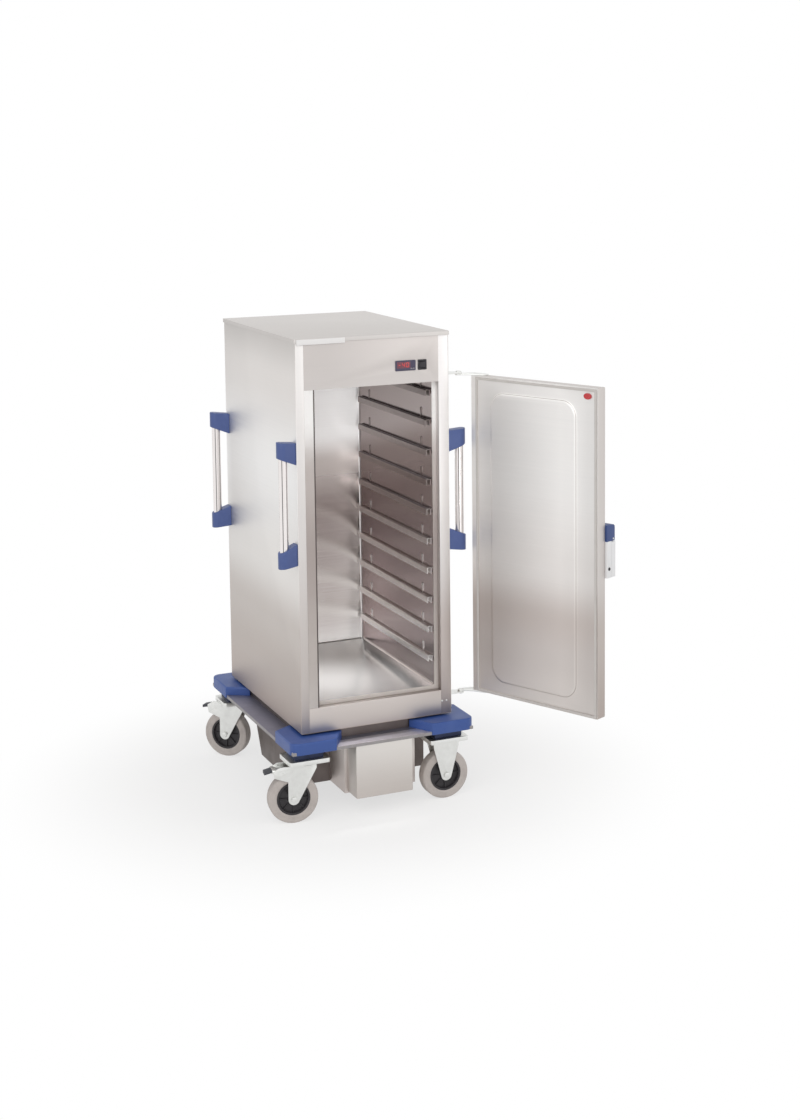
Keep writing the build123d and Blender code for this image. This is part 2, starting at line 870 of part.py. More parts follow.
def hinge_arm(z):
    """Flat arm along the edge of the closed door, round the cabinet's corner to the hinge axis."""
    x_far = door_hinge_x - hinge_arm_reach
    y0 = door_outer_y + hinge_arm_inset
    y1 = y0 + hinge_arm_width
    half = hinge_knuckle / 2
    points = [
        (x_far, y0),
        (x_far, y1),
        (side + hinge_corner_gap, front - hinge_corner_gap),
        (hinge_x - half, hinge_y),
        (hinge_x, hinge_y + half * 0.9),
        (hinge_x + half, hinge_y),
        (door_hinge_x + 14, y0),
    ]
    bore = rod(hinge_x, hinge_y, z - 1, z + hinge_plate + 1, hinge_pin_diameter + 2 * hinge_pin_clearance)
    return knuckle_plate(points, z) - bore


def hinge_bracket(z, direction):
    """Tongue to the hinge axis and a flange on the side of the cabinet; direction is +1 above the door."""
    half = hinge_knuckle / 2
    y0 = hinge_y - half
    tongue = [(side, y0), (hinge_x, y0), (hinge_x, hinge_y + half), (side, hinge_y + half + 22)]
    plate = knuckle_plate(tongue, z)
    z_root = z if direction > 0 else z + hinge_plate
    z_end = z_root + direction * bracket_flange_height
    flange = block(side, side + bracket_flange, y0, y0 + bracket_flange_length, min(z_root, z_end),
                   max(z_root, z_end))
    bore = rod(hinge_x, hinge_y, z - 1, z + hinge_plate + 1, hinge_pin_diameter)
    return plate + flange - bore


def hinge_pin(z0, z1, head_up):
    pin = rod(hinge_x, hinge_y, z0, z1, hinge_pin_diameter)
    head_z = z1 if head_up else z0 - pin_head_height
    return pin + rod(hinge_x, hinge_y, head_z, head_z + pin_head_height, pin_head_diameter)


bracket_top_z = arm_top_z + hinge_plate + hinge_gap
bracket_bottom_z = arm_bottom_z - hinge_plate - hinge_gap


# Latch on the outside of the door at its free edge
latch_x0 = door_free_x - latch_overhang
latch_x1 = latch_x0 + latch_width
latch_block_z = latch_bottom + latch_housing_length
latch_pin_y = door_outer_y - latch_block_depth + latch_pin_inset
latch_pin_z = latch_block_z + latch_pin_rise
neck_x0 = latch_x0 + lever_neck_inset
neck_x1 = latch_x1 - lever_neck_inset
lock_y = door_outer_y - latch_housing_depth / 2
lock_z = latch_bottom + lock_rise


def latch_block():
    """Block at the top of the latch, slotted for the neck of the lever."""
    z0 = latch_block_z
    z1 = z0 + latch_block_height
    y0 = door_outer_y - latch_block_depth
    body = block(latch_x0, latch_x1, y0, door_outer_y, z0, z1)
    front_edges = body.edges().filter_by(Axis.X).group_by(Axis.Y)[0]
    body = fillet(front_edges.sort_by(Axis.Z)[-1], latch_block_depth / 4)
    room = lever_neck / 2 + lever_neck_clearance
    c = lever_neck_clearance
    body -= block(neck_x0 - c, neck_x1 + c, y0 - 1, latch_pin_y + room, z0 - 1, latch_pin_z + room)
    hole = latch_pin + 2 * latch_pin_clearance
    return body - rod_x(latch_x0 - 1, latch_x1 + 1, latch_pin_y, latch_pin_z, hole)


def latch_housing():
    """Case below the block, with the bore of the lock barrel in its edge."""
    y0 = door_outer_y - latch_housing_depth
    case = block(latch_x0, latch_x1, y0, door_outer_y, latch_bottom, latch_block_z)
    hole = lock_diameter + 2 * lock_clearance
    return case - rod_x(latch_x0 - 1, latch_x0 + lock_length, lock_y, lock_z, hole)


def latch_lever():
    """Lever that hangs from the block and is pulled away from the door."""
    y1 = door_outer_y - latch_housing_depth - lever_gap
    y0 = y1 - lever_thickness
    grip = block(latch_x0, latch_x1, y0, y1, latch_bottom, latch_block_z - lever_top_gap)
    grip = fillet(upright_edges(grip).group_by(Axis.Y)[0], lever_thickness / 4)
    half = lever_neck / 2
    neck = block(neck_x0, neck_x1, latch_pin_y - half, latch_pin_y + half, latch_block_z - 6, latch_pin_z)
    eye = rod_x(neck_x0, neck_x1, latch_pin_y, latch_pin_z, lever_neck)
    pin = rod_x(latch_x0, latch_x1, latch_pin_y, latch_pin_z, latch_pin)
    return grip + neck + eye + pin


def latch_lock():
    """Lock barrel in the edge of the case."""
    barrel = rod_x(latch_x0 - lock_proud, latch_x0 + lock_length - 0.3, lock_y, lock_z, lock_diameter)
    slot = lock_diameter / 2 - 1.5
    return barrel - block(latch_x0 - lock_proud - 1, latch_x0 + 1, lock_y - 0.8, lock_y + 0.8,
                          lock_z - slot, lock_z + slot)


def opened(shape):
    return turned(shape, hinge_x, hinge_y, door_open_angle)


# Controller with window and keys
key_right_x = controller_right - controller_body_inset - key_width
key_x = [key_right_x, key_right_x - key_width - key_gap]
key_z = controller_bottom + 4.5


def controller_body():
    bezel = block(controller_left, controller_right, front - bezel_thickness, front,
                  controller_bottom, controller_top)
    bezel = fillet(bezel.edges().filter_by(Axis.Y), 2.5)
    inset = controller_body_inset + 0.3
    case = block(controller_left + inset, controller_right - inset, front - 0.5, front + controller_depth,
                 controller_bottom + inset, controller_top - inset)
    body = bezel + case
    body -= window_block(0)
    for x in key_x:
        c = key_clearance
        body -= block(x - c, x + key_width + c, front - bezel_thickness - 1, front + key_depth,
                      key_z - c, key_z + key_height + c)
    return body


def window_block(grow):
    x0 = controller_left + 5
    z1 = controller_top - 4.5
    y0 = front - bezel_thickness
    return block(x0 - grow, x0 + window_width + grow, y0, y0 + window_depth,
                 z1 - window_height - grow, z1 + grow)


def controller_key(x):
    y0 = front - bezel_thickness - key_proud
    return block(x, x + key_width, y0, y0 + key_proud + bezel_thickness + 2, key_z, key_z + key_height)


# Rocker switch
rocker_pivot_y = front + 5


def rocker_bezel():
    outer = block(rocker_left, rocker_right, front - bezel_thickness, front, rocker_bottom, rocker_top)
    outer = fillet(outer.edges().filter_by(Axis.Y), 3)
    inset = rocker_frame + 0.3
    case = block(rocker_left + inset, rocker_right - inset, front - 0.5, front + rocker_depth,
                 rocker_bottom + inset, rocker_top - inset)
    w = rocker_frame + 1.5
    well = block(rocker_left + w, rocker_right - w, front - bezel_thickness - 1, front + 16,
                 rocker_bottom + w, rocker_top - w)
    z = (rocker_bottom + rocker_top) / 2
    pin_hole = rod_x(rocker_left + w - 1, rocker_right - w + 1, rocker_pivot_y, z, 4.1)
    return outer + case - well - pin_hole


def rocker_paddle():
    w = rocker_frame + 1.5 + rocker_clearance
    z = (rocker_bottom + rocker_top) / 2
    half = (rocker_height - 2 * w) / 2
    reach = half * tan(radians(rocker_tilt))
    face_y = front - bezel_thickness - 1
    points = [
        (face_y - reach * 0.2, z - half + 1.6),
        (face_y + 1.2, z),
        (face_y - reach * 0.2, z + half - 1.6),
        (rocker_pivot_y, z + half - 2.4),
        (rocker_pivot_y + 3.5, z),
        (rocker_pivot_y, z - half + 2.4),
    ]
    x0 = rocker_left + w
    x1 = rocker_right - w
    paddle = end_prism(points, x0, x1)
    pin = rod_x(x0 - rocker_clearance - 0.9, x1 + rocker_clearance + 0.9, rocker_pivot_y, z, 4.0)
    return paddle + pin


# Machine cover between the front casters
cover_front = -platform_y + platform_sheet + cover_front_gap
cover_back = cover_front + cover_depth
nose_left = swivel_side - nose_swivel_gap
nose_right = fixed_side - nose_fixed_gap
cover_x = nose_left - cover_side_step


def machine_cover():
    x = cover_x
    outer = block(-x, x, cover_front, cover_back, cover_clearance, platform_under)
    outer = fillet(outer.edges().filter_by(Axis.Z).group_by(Axis.Y)[0], 3)
    inner = block(-x + sheet, x - sheet, cover_front + sheet, cover_back + 1, cover_clearance + sheet,
                  platform_under - sheet)
    return outer - inner


# Machine housing: a tray under the platform, with a nose behind the cover
housing_x = side - housing_side_inset
housing_front = cover_back + nose_length
housing_rear_low = back - housing_rear_low_inset
housing_rear_high = back - housing_rear_high_inset


def machine_housing():
    x = housing_x
    z0, z1 = housing_clearance, platform_under
    slope = (housing_rear_high - housing_rear_low) / (z1 - z0)
    t = sheet
    outer_side = [
        (housing_front, z0),
        (housing_rear_low, z0),
        (housing_rear_high, z1),
        (housing_front, z1),
    ]
    inner_side = [
        (housing_front + t, z0 + t),
        (housing_rear_low - t + slope * t, z0 + t),
        (housing_rear_high - t + slope, z1 + 1),
        (housing_front + t, z1 + 1),
    ]
    wide = end_prism(outer_side, -x, x)
    wide_inner = end_prism(inner_side, -x + t, x - t)
    nose = block(-nose_left, nose_right, cover_back, housing_front + t, z0, z1)
    nose_inner = block(-nose_left + t, nose_right - t, cover_back + t, housing_front + t + 1,
                       z0 + t, z1 + 1)
    air = cover_x - cover_air_margin
    air_way = block(-air, air, cover_back - 1, cover_back + t + 1, cover_clearance + cover_air_margin,
                    z1 - cover_air_margin)
    tray = (wide + nose) - wide_inner - nose_inner - air_way
    y_mid = (housing_rear_low + housing_rear_high) / 2
    for n in range(vent_count):
        z = (z0 + z1) / 2 + (n - (vent_count - 1) / 2) * vent_pitch
        for s in (-1, 1):
            cx = s * housing_x / 2
            tray -= block(cx - vent_length / 2, cx + vent_length / 2, y_mid - 60, y_mid + 60,
                          z - vent_height / 2, z + vent_height / 2)
    return tray


condenser_y0 = cover_back + condenser_gap
condenser_y1 = condenser_y0 + condenser_depth
condenser_x0 = -nose_left + condenser_edge
condenser_x1 = nose_right - condenser_edge
condenser_z0 = housing_clearance + sheet
condenser_z1 = platform_under - condenser_edge
fan_x = (condenser_x0 + condenser_x1) / 2
fan_z = (condenser_z0 + condenser_z1) / 2
fan_y0 = condenser_y1 + fan_gap


def condenser():
    """Finned coil with its frame and the bracket that carries the fan motor."""
    x0, x1 = condenser_x0, condenser_x1
    y0, y1 = condenser_y0, condenser_y1
    z0, z1 = condenser_z0, condenser_z1
    frame = block(x0, x1, y0, y1, z0, z1) - block(x0 + 2, x1 - 2, y0 - 1, y1 + 1, z0 + 2, z1 - 2)
    count = int((x1 - x0 - 4) / condenser_fin_pitch)
    for n in range(1, count + 1):
        x = x0 + 2 + n * (x1 - x0 - 4) / (count + 1)
        frame += block(x - condenser_fin / 2, x + condenser_fin / 2, y0 + 2, y1 - 2, z0 + 1, z1 - 1)
    for n in range(condenser_rows):
        z = z0 + (n + 0.5) * (z1 - z0) / condenser_rows
        frame += rod_x(x0 + 1, x1 - 1, (y0 + y1) / 2, z, condenser_tube)
    motor_y = fan_y0 + fan_depth + 4
    frame += block(x0, x1, motor_y, motor_y + 3, fan_z - 12, fan_z + 12)
    frame += block(x0, x0 + 3, y1 - 1, motor_y + 3, fan_z - 12, fan_z + 12)
    frame += block(x1 - 3, x1, y1 - 1, motor_y + 3, fan_z - 12, fan_z + 12)
    frame += rod_y(fan_x, motor_y, motor_y + 28, fan_z, 56)
    frame += rod_y(fan_x, fan_y0 - 2, motor_y + 1, fan_z, fan_shaft)
    return frame


def fan_rotor(diameter):
    """Axial fan about Z, from Z = 0 to its depth."""
    rotor = rod(0, 0, 0, fan_depth, fan_hub)
    for n in range(fan_blades):
        blade = Rot(32, 0, 0) * Box((diameter - fan_hub) / 2 + 4, 30, 2)
        blade = Pos((diameter + fan_hub) / 4 - 2, 0, fan_depth / 2) * blade
        rotor += Rot(0, 0, n * 360 / fan_blades) * blade
    rotor &= rod(0, 0, 0, fan_depth, diameter)
    return rotor - rod(0, 0, -1, fan_depth + 1, fan_shaft + 2 * fan_clearance)


def compressor():
    """Hermetic compressor on its foot plate."""
    y = (housing_front + housing_rear_low) / 2
    z0 = housing_clearance + sheet
    z1 = z0 + compressor_foot
    foot_x = compressor_foot_length / 2
    foot_y = compressor_foot_width / 2
    foot = block(-foot_x, foot_x, y - foot_y, y + foot_y, z0, z0 + compressor_foot / 4)
    body = rod(0, y, z1, z1 + compressor_height, compressor_diameter)
    body = fillet(body.edges().filter_by(GeomType.CIRCLE), compressor_round)
    stand = rod(0, y, z0 + compressor_foot / 6, z1 + compressor_stand_rise, compressor_stand)
    shell_x = compressor_diameter / 2
    terminal = block(shell_x - compressor_foot, shell_x + terminal_box_reach,
                     y - terminal_box_width / 2, y + terminal_box_width / 2,
                     z0 + terminal_box_rise, z0 + terminal_box_rise + terminal_box_height)
    return foot + body + stand + terminal


# Evaporator, its fan and the panel below them
evaporator_y1 = pocket_back - evaporator_rear_gap
evaporator_y0 = evaporator_y1 - evaporator_length
evaporator_z0 = ceiling_z + 8
evaporator_fan_y = pocket_front + (evaporator_y0 - pocket_front) / 2


def evaporator():
    x = pocket_x - evaporator_side_gap
    z0 = evaporator_z0
    z1 = ceiling_z + pocket_height
    y0, y1 = evaporator_y0, evaporator_y1
    coil = block(-x, -x + 2, y0, y1, z0, z1) + block(x - 2, x, y0, y1, z0, z1)
    for n in range(1, evaporator_fins + 1):
        cx = -x + 1 + n * (2 * x - 2) / (evaporator_fins + 1)
        coil += block(cx - 0.6, cx + 0.6, y0 + 2, y1 - 2, z0 + 4, z0 + evaporator_height)
    for row in range(2):
        for column in range(4):
            y = y0 + (column + 0.5) * (y1 - y0) / 4
            z = z0 + (row + 0.5) * evaporator_height / 2
            coil += rod_x(-x + 1, x - 1, y, z, 9)
    return coil


def ceiling_panel():
    """Panel under the evaporator pocket, with the fan motor on its bracket and two air openings."""
    m = ceiling_panel_margin
    z1 = ceiling_z
    z0 = z1 - ceiling_panel_sheet
    x = pocket_x + m
    panel = block(-x, x, pocket_front - m, pocket_back + m, z0, z1)
    panel -= rod(0, evaporator_fan_y, z0 - 1, z1 + 1, evaporator_fan_diameter + 8)
    slot_x = pocket_x - evaporator_side_gap
    panel -= block(-slot_x, slot_x, pocket_back - 26, pocket_back - 4, z0 - 1, z1 + 1)
    bar_z = z1 + fan_depth + fan_motor_gap
    bar_x = evaporator_fan_diameter / 2 + fan_motor_gap
    y0 = evaporator_fan_y - fan_bracket_width / 2
    y1 = evaporator_fan_y + fan_bracket_width / 2
    t = fan_bracket_sheet
    bar = block(-bar_x, bar_x, y0, y1, bar_z, bar_z + t)
    bar += block(-bar_x, -bar_x + t, y0, y1, z1 - t / 4, bar_z + t)
    bar += block(bar_x - t, bar_x, y0, y1, z1 - t / 4, bar_z + t)
    motor = rod(0, evaporator_fan_y, bar_z, bar_z + fan_motor_length, fan_motor_diameter)
    shaft = rod(0, evaporator_fan_y, z1 + t, bar_z + t / 2, fan_shaft)
    return panel + bar + motor + shaft


os.makedirs("parts", exist_ok=True)

save("cabinet_shell", cabinet_shell())
save("cabinet_lid", cabinet_lid())
save("cabinet_liner", cabinet_liner())
save("cabinet_insulation", cabinet_insulation())
save("header_panel", header_panel())
save("sill_panel", sill_panel())
save("front_posts", front_posts())
save("jamb_frame", jamb_frame())
save("name_plate_blank", name_plate())
rails = tray_rails()
save("tray_rails_right", rails)
save("tray_rails_left", mirrored(rails))
save("rail_studs", rail_studs())
save("platform", platform())
save("corner_bumpers", join([corner_bumper(sx, sy) for sx in (-1, 1) for sy in (-1, 1)]))
save("handle_grips", join(on_four_corners([handle_grip()])))
end_blocks = [handle_block(handle_bottom, 1), handle_block(handle_top, -1)]
save("handle_blocks", join(on_four_corners(end_blocks)))

tyre_solid, hub_solid, axle_solid = tyre(), hub(), axle()
fork_solid, pedal_solid = swivel_fork(), pedal()
plate_solid, rigid_solid = swivel_plate(), fixed_fork()
for name, (x, y, turn) in swivel_casters.items():
    wheel_x = x - caster_trail * cos(radians(turn))
    wheel_y = y - caster_trail * sin(radians(turn))
    save(f"fork_{name}", placed(fork_solid, x, y, turn))
    save(f"brake_pedal_{name}", placed(pedal_solid, x, y, turn))
    save(f"hub_{name}", wheel_at(hub_solid, wheel_x, wheel_y, turn))
    save(f"tyre_{name}", wheel_at(tyre_solid, wheel_x, wheel_y, turn))
    save(f"axle_{name}", wheel_at(axle_solid, wheel_x, wheel_y, turn))
save("swivel_plates", join([placed(plate_solid, x, y, 0) for x, y, turn in swivel_casters.values()]))
for name, (x, y) in fixed_casters.items():
    save(f"fork_{name}", placed(rigid_solid, x, y, 0))
    save(f"hub_{name}", wheel_at(hub_solid, x, y, 0))
    save(f"tyre_{name}", wheel_at(tyre_solid, x, y, 0))
save("axles_right", join([wheel_at(axle_solid, x, y, 0) for x, y in fixed_casters.values()]))

save("door_outer_skin", opened(door_outer_skin()))
save("door_inner_skin", opened(door_inner_skin()))
save("door_core", opened(door_core()))
save("door_gasket", opened(door_gasket()))
save("door_badge_blank", opened(door_badge()))
save("hinge_arms", opened(join([hinge_arm(arm_top_z), hinge_arm(arm_bottom_z)])))
save("hinge_brackets", join([hinge_bracket(bracket_top_z, 1), hinge_bracket(bracket_bottom_z, -1)]))
save("hinge_pins", join([hinge_pin(arm_top_z + 0.5, bracket_top_z + hinge_plate, True),
                         hinge_pin(bracket_bottom_z, arm_bottom_z + hinge_plate - 0.5, False)]))
save("latch_block", opened(latch_block()))
save("latch_housing", opened(latch_housing()))
save("latch_lever", opened(latch_lever()))
save("latch_lock", opened(latch_lock()))

save("controller_body", controller_body())
save("display_window", window_block(0))
save("key_right", controller_key(key_x[0]))
save("key_left", controller_key(key_x[1]))
save("rocker_bezel", rocker_bezel())
save("rocker_paddle", rocker_paddle())

save("machine_cover", machine_cover())
save("machine_housing", machine_housing())
save("condenser", condenser())
save("condenser_fan", Pos(fan_x, fan_y0 + fan_depth, fan_z) * Rot(90, 0, 0) * fan_rotor(fan_diameter))
save("compressor", compressor())
save("evaporator", evaporator())
save("evaporator_fan", Pos(0, evaporator_fan_y, ceiling_z + 6) * fan_rotor(evaporator_fan_diameter))
save("ceiling_panel", ceiling_panel())

print("hinge axis", round(hinge_x, 2), round(hinge_y, 2))
print("parts", len([name for name in os.listdir("parts") if name.endswith(".step")]))
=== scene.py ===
# %% [markdown]
# # A refrigerated banquet cart
# The real object is a tall stainless cabinet on four casters, with a door that swings far open, ten
# pairs of tray rails, blue push handles and bumpers, and a cooling unit under the platform.
# The solids come from CAD in one fixed frame: metres, +Z up, the front towards -Y. Here they get
# their folds, pressings, small fittings and finishes.

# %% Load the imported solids
import json
import math

import bmesh
import bpy
from mathutils import Matrix, Vector

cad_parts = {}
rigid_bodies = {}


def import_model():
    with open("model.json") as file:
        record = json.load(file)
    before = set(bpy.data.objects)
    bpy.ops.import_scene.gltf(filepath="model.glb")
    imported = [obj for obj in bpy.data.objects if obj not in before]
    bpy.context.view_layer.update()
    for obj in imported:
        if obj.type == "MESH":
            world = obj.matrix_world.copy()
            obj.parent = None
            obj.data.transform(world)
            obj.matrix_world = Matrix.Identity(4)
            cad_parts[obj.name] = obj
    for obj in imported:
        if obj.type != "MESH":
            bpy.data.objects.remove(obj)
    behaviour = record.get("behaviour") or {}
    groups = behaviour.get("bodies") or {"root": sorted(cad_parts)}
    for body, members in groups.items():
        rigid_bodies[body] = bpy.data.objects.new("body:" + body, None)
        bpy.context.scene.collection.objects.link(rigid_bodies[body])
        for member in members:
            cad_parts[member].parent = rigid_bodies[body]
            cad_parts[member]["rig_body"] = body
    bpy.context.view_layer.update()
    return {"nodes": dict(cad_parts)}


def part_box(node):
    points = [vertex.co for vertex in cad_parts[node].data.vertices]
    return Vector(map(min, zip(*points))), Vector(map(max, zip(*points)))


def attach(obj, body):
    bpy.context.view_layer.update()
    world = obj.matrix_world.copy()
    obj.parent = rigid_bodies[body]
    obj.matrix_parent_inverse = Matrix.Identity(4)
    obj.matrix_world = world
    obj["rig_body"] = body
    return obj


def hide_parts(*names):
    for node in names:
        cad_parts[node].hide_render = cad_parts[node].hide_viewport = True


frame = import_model()
cad_nodes = frame["nodes"]

# %% [markdown]
# ## The camera
# The photograph was taken from the left of the cart and a little above it. The lens and the place
# come from fitting the cabinet's edges to the picture. Part of the framing is lens shift, because
# the uprights in the picture stay nearly parallel.

# %% Camera at the photograph's angle
picture_width, picture_height = 800, 1120
focal_pixels = 1876.3
axis_pixel = (462.3, 336.0)
yaw, pitch, roll = (math.radians(a) for a in (24.77, 6.53, -0.45))
sensor = 36.0

ahead = Vector((math.sin(yaw) * math.cos(pitch), math.cos(yaw) * math.cos(pitch), -math.sin(pitch)))
level_right = Vector((math.cos(yaw), -math.sin(yaw), 0.0))
level_up = level_right.cross(ahead)
right = level_right * math.cos(roll) + level_up * math.sin(roll)
up = level_up * math.cos(roll) - level_right * math.sin(roll)

lens = bpy.data.cameras.new("photo_camera")
lens.sensor_width = sensor
lens.lens = focal_pixels * sensor / picture_height
lens.shift_x = (picture_width / 2 - axis_pixel[0]) / picture_height
lens.shift_y = (axis_pixel[1] - picture_height / 2) / picture_height
camera = bpy.data.objects.new("photo_camera", lens)
turn = Matrix((right, up, -ahead)).transposed().to_4x4()
camera.matrix_world = Matrix.Translation((-2.189, -5.769, 2.2)) @ turn
bpy.context.scene.collection.objects.link(camera)
bpy.context.scene.camera = camera
print("lens", round(lens.lens, 1), "mm, shift", round(lens.shift_x, 3), round(lens.shift_y, 3))

# %% [markdown]
# ## Small tools for finishes
# A finish is a node tree. Two helpers keep the recipes short: one turns a colour as a designer
# writes it into the linear value that the renderer needs, the other adds a node.

# %% Colour and node helpers
def linear(hex_colour):
    """Turns an sRGB hex colour into linear red, green, blue and alpha."""
    channels = [int(hex_colour[i:i + 2], 16) / 255 for i in (1, 3, 5)]
    return [c / 12.92 if c <= 0.04045 else ((c + 0.055) / 1.055) ** 2.4 for c in channels] + [1.0]


def add(tree, kind, settings=None, inputs=None):
    """Adds one node; an input given as a socket is linked, anything else is its value."""
    made = tree.nodes.new(kind)
    for name, value in (settings or {}).items():
        setattr(made, name, value)
    for name, value in (inputs or {}).items():
        if isinstance(value, bpy.types.NodeSocket):
            tree.links.new(value, made.inputs[name])
        else:
            made.inputs[name].default_value = value
    return made


def new_finish(name, settings):
    """A material with one Principled shader, whose fixed values sit on its own sockets."""
    material = bpy.data.materials.new(name)
    material.use_nodes = True
    tree = material.node_tree
    tree.nodes.clear()
    shader = add(tree, "ShaderNodeBsdfPrincipled", inputs=settings)
    add(tree, "ShaderNodeOutputMaterial", inputs={"Surface": shader.outputs["BSDF"]})
    place = add(tree, "ShaderNodeTexCoord").outputs["Object"]
    return material, tree, shader, place


def finish_with(tree, shader, colour, roughness, relief, strength, depth):
    """Links a colour, a roughness and a fine relief to the finish's shader."""
    bump = add(tree, "ShaderNodeBump", inputs={
        "Height": relief, "Strength": strength, "Distance": depth})
    tree.links.new(colour, shader.inputs["Base Color"])
    tree.links.new(roughness, shader.inputs["Roughness"])
    tree.links.new(bump.outputs["Normal"], shader.inputs["Normal"])


print("node helpers ready")

# %% [markdown]
# ## Stainless sheet
# The cabinet is chrome-nickel steel sheet, ground with a belt so that fine level lines run round
# it. The lines are some 0.1 mm wide, too fine for the picture, so they are drawn 3 mm wide. The
# grinding scatters what the sheet mirrors until only broad tones are left: pale above, warmer and
# browner towards the floor. That slow change is painted reflection and shade: a colour ramp over
# the height, tuned until spots of the render came near the same spots of the photograph, so it
# stands in for that one room. Inside, the sheet is left bright rolled and mirrors more sharply.

# %% Ground stainless sheet
ramp_height = 1.6
line_width = 0.003
cloud_share = 0.6
dull_heights = (0.84, 1.16)
painted_shade_distances = (0.40, 0.50)
painted_shade_share = 0.86
hinge_point = (0.3015, -0.3395, 0.0)


def height_ramp(tree, place, tones):
    """Colour by height above the floor; tones is a list of (metres, hex colour)."""
    z = add(tree, "ShaderNodeSeparateXYZ", inputs={"Vector": place}).outputs["Z"]
    share = add(tree, "ShaderNodeMath", {"operation": "DIVIDE"}, {0: z, 1: ramp_height})
    ramp = add(tree, "ShaderNodeValToRGB", inputs={"Fac": share.outputs[0]})
    ramp.color_ramp.interpolation = "EASE"
    stops = ramp.color_ramp.elements
    while len(stops) < len(tones):
        stops.new(0.5)
    for stop, (metres, tone) in zip(stops, tones):
        stop.position = metres / ramp_height
        stop.color = linear(tone)
    return ramp.outputs["Color"]


def ground_sheet(name, tones, roughness=0.46, variation=0.035, metallic=1.0,
                 dull_top=None, painted_shade_from=None):
    """Ground stainless sheet: level lines, slow cloudiness, and a tone for each height.

    dull_top is the roughness above the dull heights, if it differs, and stands in for what the sheet
    mirrors. The tone for each height is painted reflection and shade, and a point in plan, if given,
    is where that tone starts to fall off into painted shade.
    """
    material, tree, shader, place = new_finish(name, {"Metallic": metallic})
    drawn = add(tree, "ShaderNodeMapping", inputs={
        "Vector": place, "Scale": (1.3, 1.3, 1 / line_width)})
    lines = add(tree, "ShaderNodeTexNoise", inputs={
        "Vector": drawn.outputs["Vector"], "Scale": 1.0, "Detail": 3.0, "Roughness": 0.6}).outputs["Fac"]
    clouds = add(tree, "ShaderNodeTexNoise", inputs={
        "Vector": place, "Scale": 5.0, "Detail": 2.0}).outputs["Fac"]
    both = add(tree, "ShaderNodeMath", {"operation": "MULTIPLY_ADD"}, {
        0: clouds, 1: cloud_share, 2: lines})
    shade = add(tree, "ShaderNodeMapRange", inputs={
        "Value": both.outputs[0], "From Min": 0.5, "From Max": 1.1,
        "To Min": 1 - variation, "To Max": 1 + variation / 3})
    amount = shade.outputs["Result"]
    if painted_shade_from:
        # Painted shade: the tone falls off away from a point in plan.
        in_plan = add(tree, "ShaderNodeVectorMath", {"operation": "MULTIPLY"}, {
            0: place, 1: (1.0, 1.0, 0.0)})
        from_point = add(tree, "ShaderNodeVectorMath", {"operation": "DISTANCE"}, {
            0: in_plan.outputs["Vector"], 1: painted_shade_from})
        painted_shade_fall = add(tree, "ShaderNodeMapRange", inputs={
            "Value": from_point.outputs["Value"], "From Min": painted_shade_distances[0],
            "From Max": painted_shade_distances[1], "To Min": 1.0, "To Max": painted_shade_share})
        amount = add(tree, "ShaderNodeMath", {"operation": "MULTIPLY"}, {
            0: amount, 1: painted_shade_fall.outputs["Result"]}).outputs[0]
    tone = add(tree, "ShaderNodeVectorMath", {"operation": "SCALE"}, {
        0: height_ramp(tree, place, tones), "Scale": amount})
    rough = add(tree, "ShaderNodeMapRange", inputs={
        "Value": lines, "From Min": 0.3, "From Max": 0.7,
        "To Min": roughness - 0.03, "To Max": roughness + 0.04})
    level = rough.outputs["Result"]
    if dull_top:
        z = add(tree, "ShaderNodeSeparateXYZ", inputs={"Vector": place}).outputs["Z"]
        near_top = add(tree, "ShaderNodeMapRange", {"interpolation_type": "SMOOTHSTEP"}, {
            "Value": z, "From Min": dull_heights[0], "From Max": dull_heights[1]})
        level = add(tree, "ShaderNodeMix", inputs={
            0: near_top.outputs["Result"], 2: level, 3: dull_top}).outputs[0]
    finish_with(tree, shader, tone.outputs["Vector"], level, lines, 0.05, 0.0002)
    return material


# Sides and lid: painted reflection and shade in broad soft bands, palest at breast height, browner
# towards the floor.
cabinet_sheet = ground_sheet("stainless_sheet_ground", [
    (0.28, "#BDB1AA"), (0.45, "#C3BAB4"), (0.60, "#CBC4BF"), (0.78, "#E6E3E0"), (1.10, "#F2F1F0"),
    (1.40, "#E3DFDC"), (1.54, "#CDC9C6")], roughness=0.5)
# Header, sill and posts: painted reflection and shade in ramps of their own, so that the front
# reads apart from the side. The right post's second ramp has more painted shade low down.
front_sheet = ground_sheet("stainless_front_ground", [
    (0.28, "#C6BEBA"), (0.45, "#CFC8C4"), (0.95, "#DAD7D5"), (1.53, "#C9C3C0")])
post_sheet = ground_sheet("stainless_post_ground", [
    (0.28, "#BEB5B1"), (0.45, "#C8C1BD"), (0.95, "#D8D4D2"), (1.53, "#E8E5E3")], roughness=0.52)
shaded_post_sheet = ground_sheet("stainless_shaded_post_ground", [
    (0.28, "#B2A8A4"), (0.55, "#C6BDB9"), (0.80, "#DEDAD8"), (1.53, "#F0EDEC")], roughness=0.52)
# Door: each ramp is painted reflection and shade. Pale inside, falling off into painted shade away
# from the hinge, with a darker line of painted shade at the pressed shoulder, and a duller skin outside.
door_sheet = ground_sheet("stainless_door_ground", [
    (0.35, "#E0DAD6"), (0.52, "#D6CFCB"), (0.64, "#D2C9C4"), (0.80, "#EFEBE8"), (1.10, "#F8F6F4"),
    (1.39, "#F6F4F2")], roughness=0.5, painted_shade_from=hinge_point)
door_shoulder_painted_shade = ground_sheet("stainless_door_shoulder_pressed", [
    (0.35, "#A39A95"), (0.64, "#9C938E"), (0.80, "#B4ADA9"), (1.39, "#BDB7B3")], roughness=0.5)
door_outer_sheet = ground_sheet("stainless_door_outer_ground", [
    (0.35, "#B9AFA9"), (0.62, "#C2BAB5"), (0.80, "#CFCAC7"), (1.39, "#CBC6C3")], roughness=0.58)
